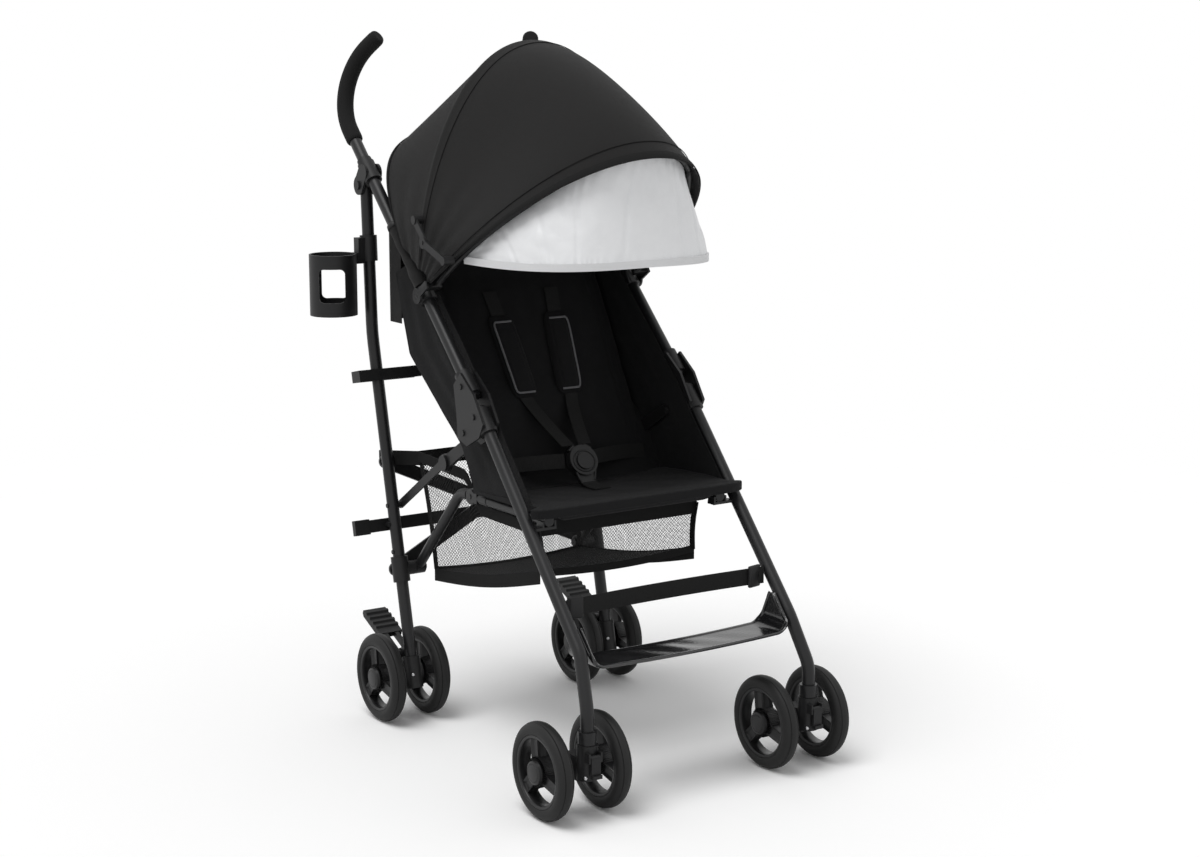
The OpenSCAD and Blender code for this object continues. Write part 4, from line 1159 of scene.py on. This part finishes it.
def hub():
    fresh()
    bpy.ops.mesh.primitive_cylinder_add(vertices=48, radius=HUB_R, depth=HUB_LONG, rotation=(0, pi / 2, 0))
    drum = bpy.context.object
    bpy.ops.object.transform_apply(location=False, rotation=True, scale=True)
    fresh()
    for face in drum.data.polygons:
        face.select = face.normal.x < -0.9
    bpy.ops.object.mode_set(mode="EDIT")
    for inward, rise in CAP_STEPS:
        bpy.ops.mesh.inset(thickness=inward, depth=rise, use_individual=True)
    fresh()
    shape(drum, "BEVEL", width=0.0005, segments=2, limit_method="ANGLE", angle_limit=radians(40))
    return drum


ring = turned(tyre_outline)
for look in (rubber, rim_plastic):
    ring.data.materials.append(look)
for face in ring.data.polygons:
    face.material_index = 0 if hypot(face.center.y, face.center.z) > RIM_EDGE else 1
bars = [spoke(radians(a)) for a in (-13, 107, 227)]
core = hub()
for part in [*bars, core]:
    part.data.materials.append(rim_plastic)
wheel = join([ring, *bars, core])
hold(wheel)
bpy.ops.object.shade_smooth_by_angle(angle=radians(35))
print("wheel", len(wheel.data.polygons), "faces")

# %% Eight wheels
MIRRORED = ("wheel_fl_inner", "wheel_fr_outer", "wheel_rl_inner", "wheel_rr_outer")
for name in sorted(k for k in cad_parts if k.startswith("wheel")):
    low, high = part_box(name)
    copy = wheel.copy()
    copy.data = wheel.data.copy()
    if name in MIRRORED:
        copy.data.transform(Matrix.Scale(-1, 4, (1, 0, 0)))
        copy.data.flip_normals()
    copy.data.transform(Matrix.Translation((low + high) / 2))
    copy.name = copy.data.name = name.replace("wheel", "tyre_and_rim")
    scene.collection.objects.link(copy)
    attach(copy, name)
    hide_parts(name)
bpy.data.objects.remove(wheel)
print("wheels", sum(k.startswith("wheel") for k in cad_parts))

# %% [markdown]
# Tube sleeves and rivets
# A cuff of canopy cloth is sewn round each push tube between the canopy pivot and the bracket, closed by a
# ring at its top. Bright rivets close the castor barrels and the rear housings. One rivet is modelled as a
# short drum with a rounded rim and copied.


# %% Cloth cuffs
TUBE_X = 184
PUSH = Vector((0, 369, 363)).normalized()
OVER = Vector((0, -PUSH.z, PUSH.y))
CUFF_START, CUFF_LONG, CUFF_R = 16, 118, 10.6
RING_AT, RING_R = 132, 12.4


def on_tube(side, s):
    return Vector((side * TUBE_X, PIVOT_Y, PIVOT_Z)) + PUSH * s


def cuff_rule(side):
    def rule(u, v):
        s, t = CUFF_START + CUFF_LONG * v, pi * u
        r = CUFF_R + 2.2 * (1 - v) ** 2 + 0.5 * sin(s * 0.21 + 2 * sin(t)) + 0.4 * sin(3 * t + s * 0.09)
        return on_tube(side, s) + Vector((side * cos(t), 0, 0)) * r + OVER * (r * sin(t))
    return rule


for side, tag in SIDES:
    cuff = outward(sheet(28, 40, cuff_rule(side), 0, (0.075, 0.118)))
    drape(cuff, "tube_cuff_" + tag, canopy_cloth, "frame_" + tag)
    cloth_cut(cuff, 0.08, 0.118, 1)
    path = [on_tube(side, RING_AT + s) for s in (0, 1.2, 5, 7.6, 8.6)]
    collar = tube(path, RING_R, 28, [0.94, 1, 1, 0.97, 0.88])
    settle(collar, "cuff_ring_" + tag, plastic, "frame_" + tag, 45)
print("cuffs", 2)


# %% Rivets
def rivet(centre, aim):
    fresh()
    bpy.ops.mesh.primitive_cylinder_add(vertices=24, radius=0.0027, depth=0.0032)
    head = bpy.context.object
    soften(head, 0.0011, 3)
    head.data.transform(Vector(aim).to_track_quat("Z", "Y").to_matrix().to_4x4())
    head.location = mm(*centre)
    return head


CASTOR_AIM, REAR_AIM = (-0.66, -0.75, 0), (-0.45, -0.89, 0)
spots = [("castor_l", (-204.4, -320.2, 67), CASTOR_AIM), ("castor_r", (184.6, -320.2, 67), CASTOR_AIM),
         ("rear_l", (-190.4, 196.6, 80), REAR_AIM), ("rear_r", (177.6, 196.6, 80), REAR_AIM)]
for body, centre, aim in spots:
    settle(rivet(centre, aim), "rivet_" + body, rivet_steel, body, 40)
print("rivets", len(spots))

# %% [markdown]
# Hooked grips
# Each handle is a bent tube under a sleeve of closed-cell foam. The path runs up the push tube, turns
# through a little over a right angle, and ends in a short straight with a rounded cap.


# %% Foam grips
GRIP_BEND, GRIP_TURN, GRIP_R = 93, 94, 13.2


def grip_path(side):
    start, hook = Vector((0, 369, 904)), Vector((0.354, -0.66, 0.663))
    hook = (hook - PUSH * hook.dot(PUSH)).normalized()
    bend = start + PUSH * 23
    path = [start + PUSH * k for k in (0, 2, 5, 12)]
    for k in range(33):
        t = radians(GRIP_TURN * k / 32)
        path.append(bend + PUSH * (GRIP_BEND * sin(t)) + hook * (GRIP_BEND * (1 - cos(t))))
    tip = PUSH * cos(radians(GRIP_TURN)) + hook * sin(radians(GRIP_TURN))
    last = path[-1]
    path += [last + tip * k for k in (10, 17, 21, 23.6, 24.8)]
    return [(side * (TUBE_X - p.x), p.y, p.z) for p in path]


swell = [0.86, 0.96, 1, 1] + [1] * 33 + [1, 0.99, 0.95, 0.84, 0.62]
for side, tag in SIDES:
    foam = tube(grip_path(side), GRIP_R, 28, swell)
    settle(foam, "foam_grip_" + tag, foam_skin, "frame_" + tag, 50)
    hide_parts("grip_" + tag)
print("grips")
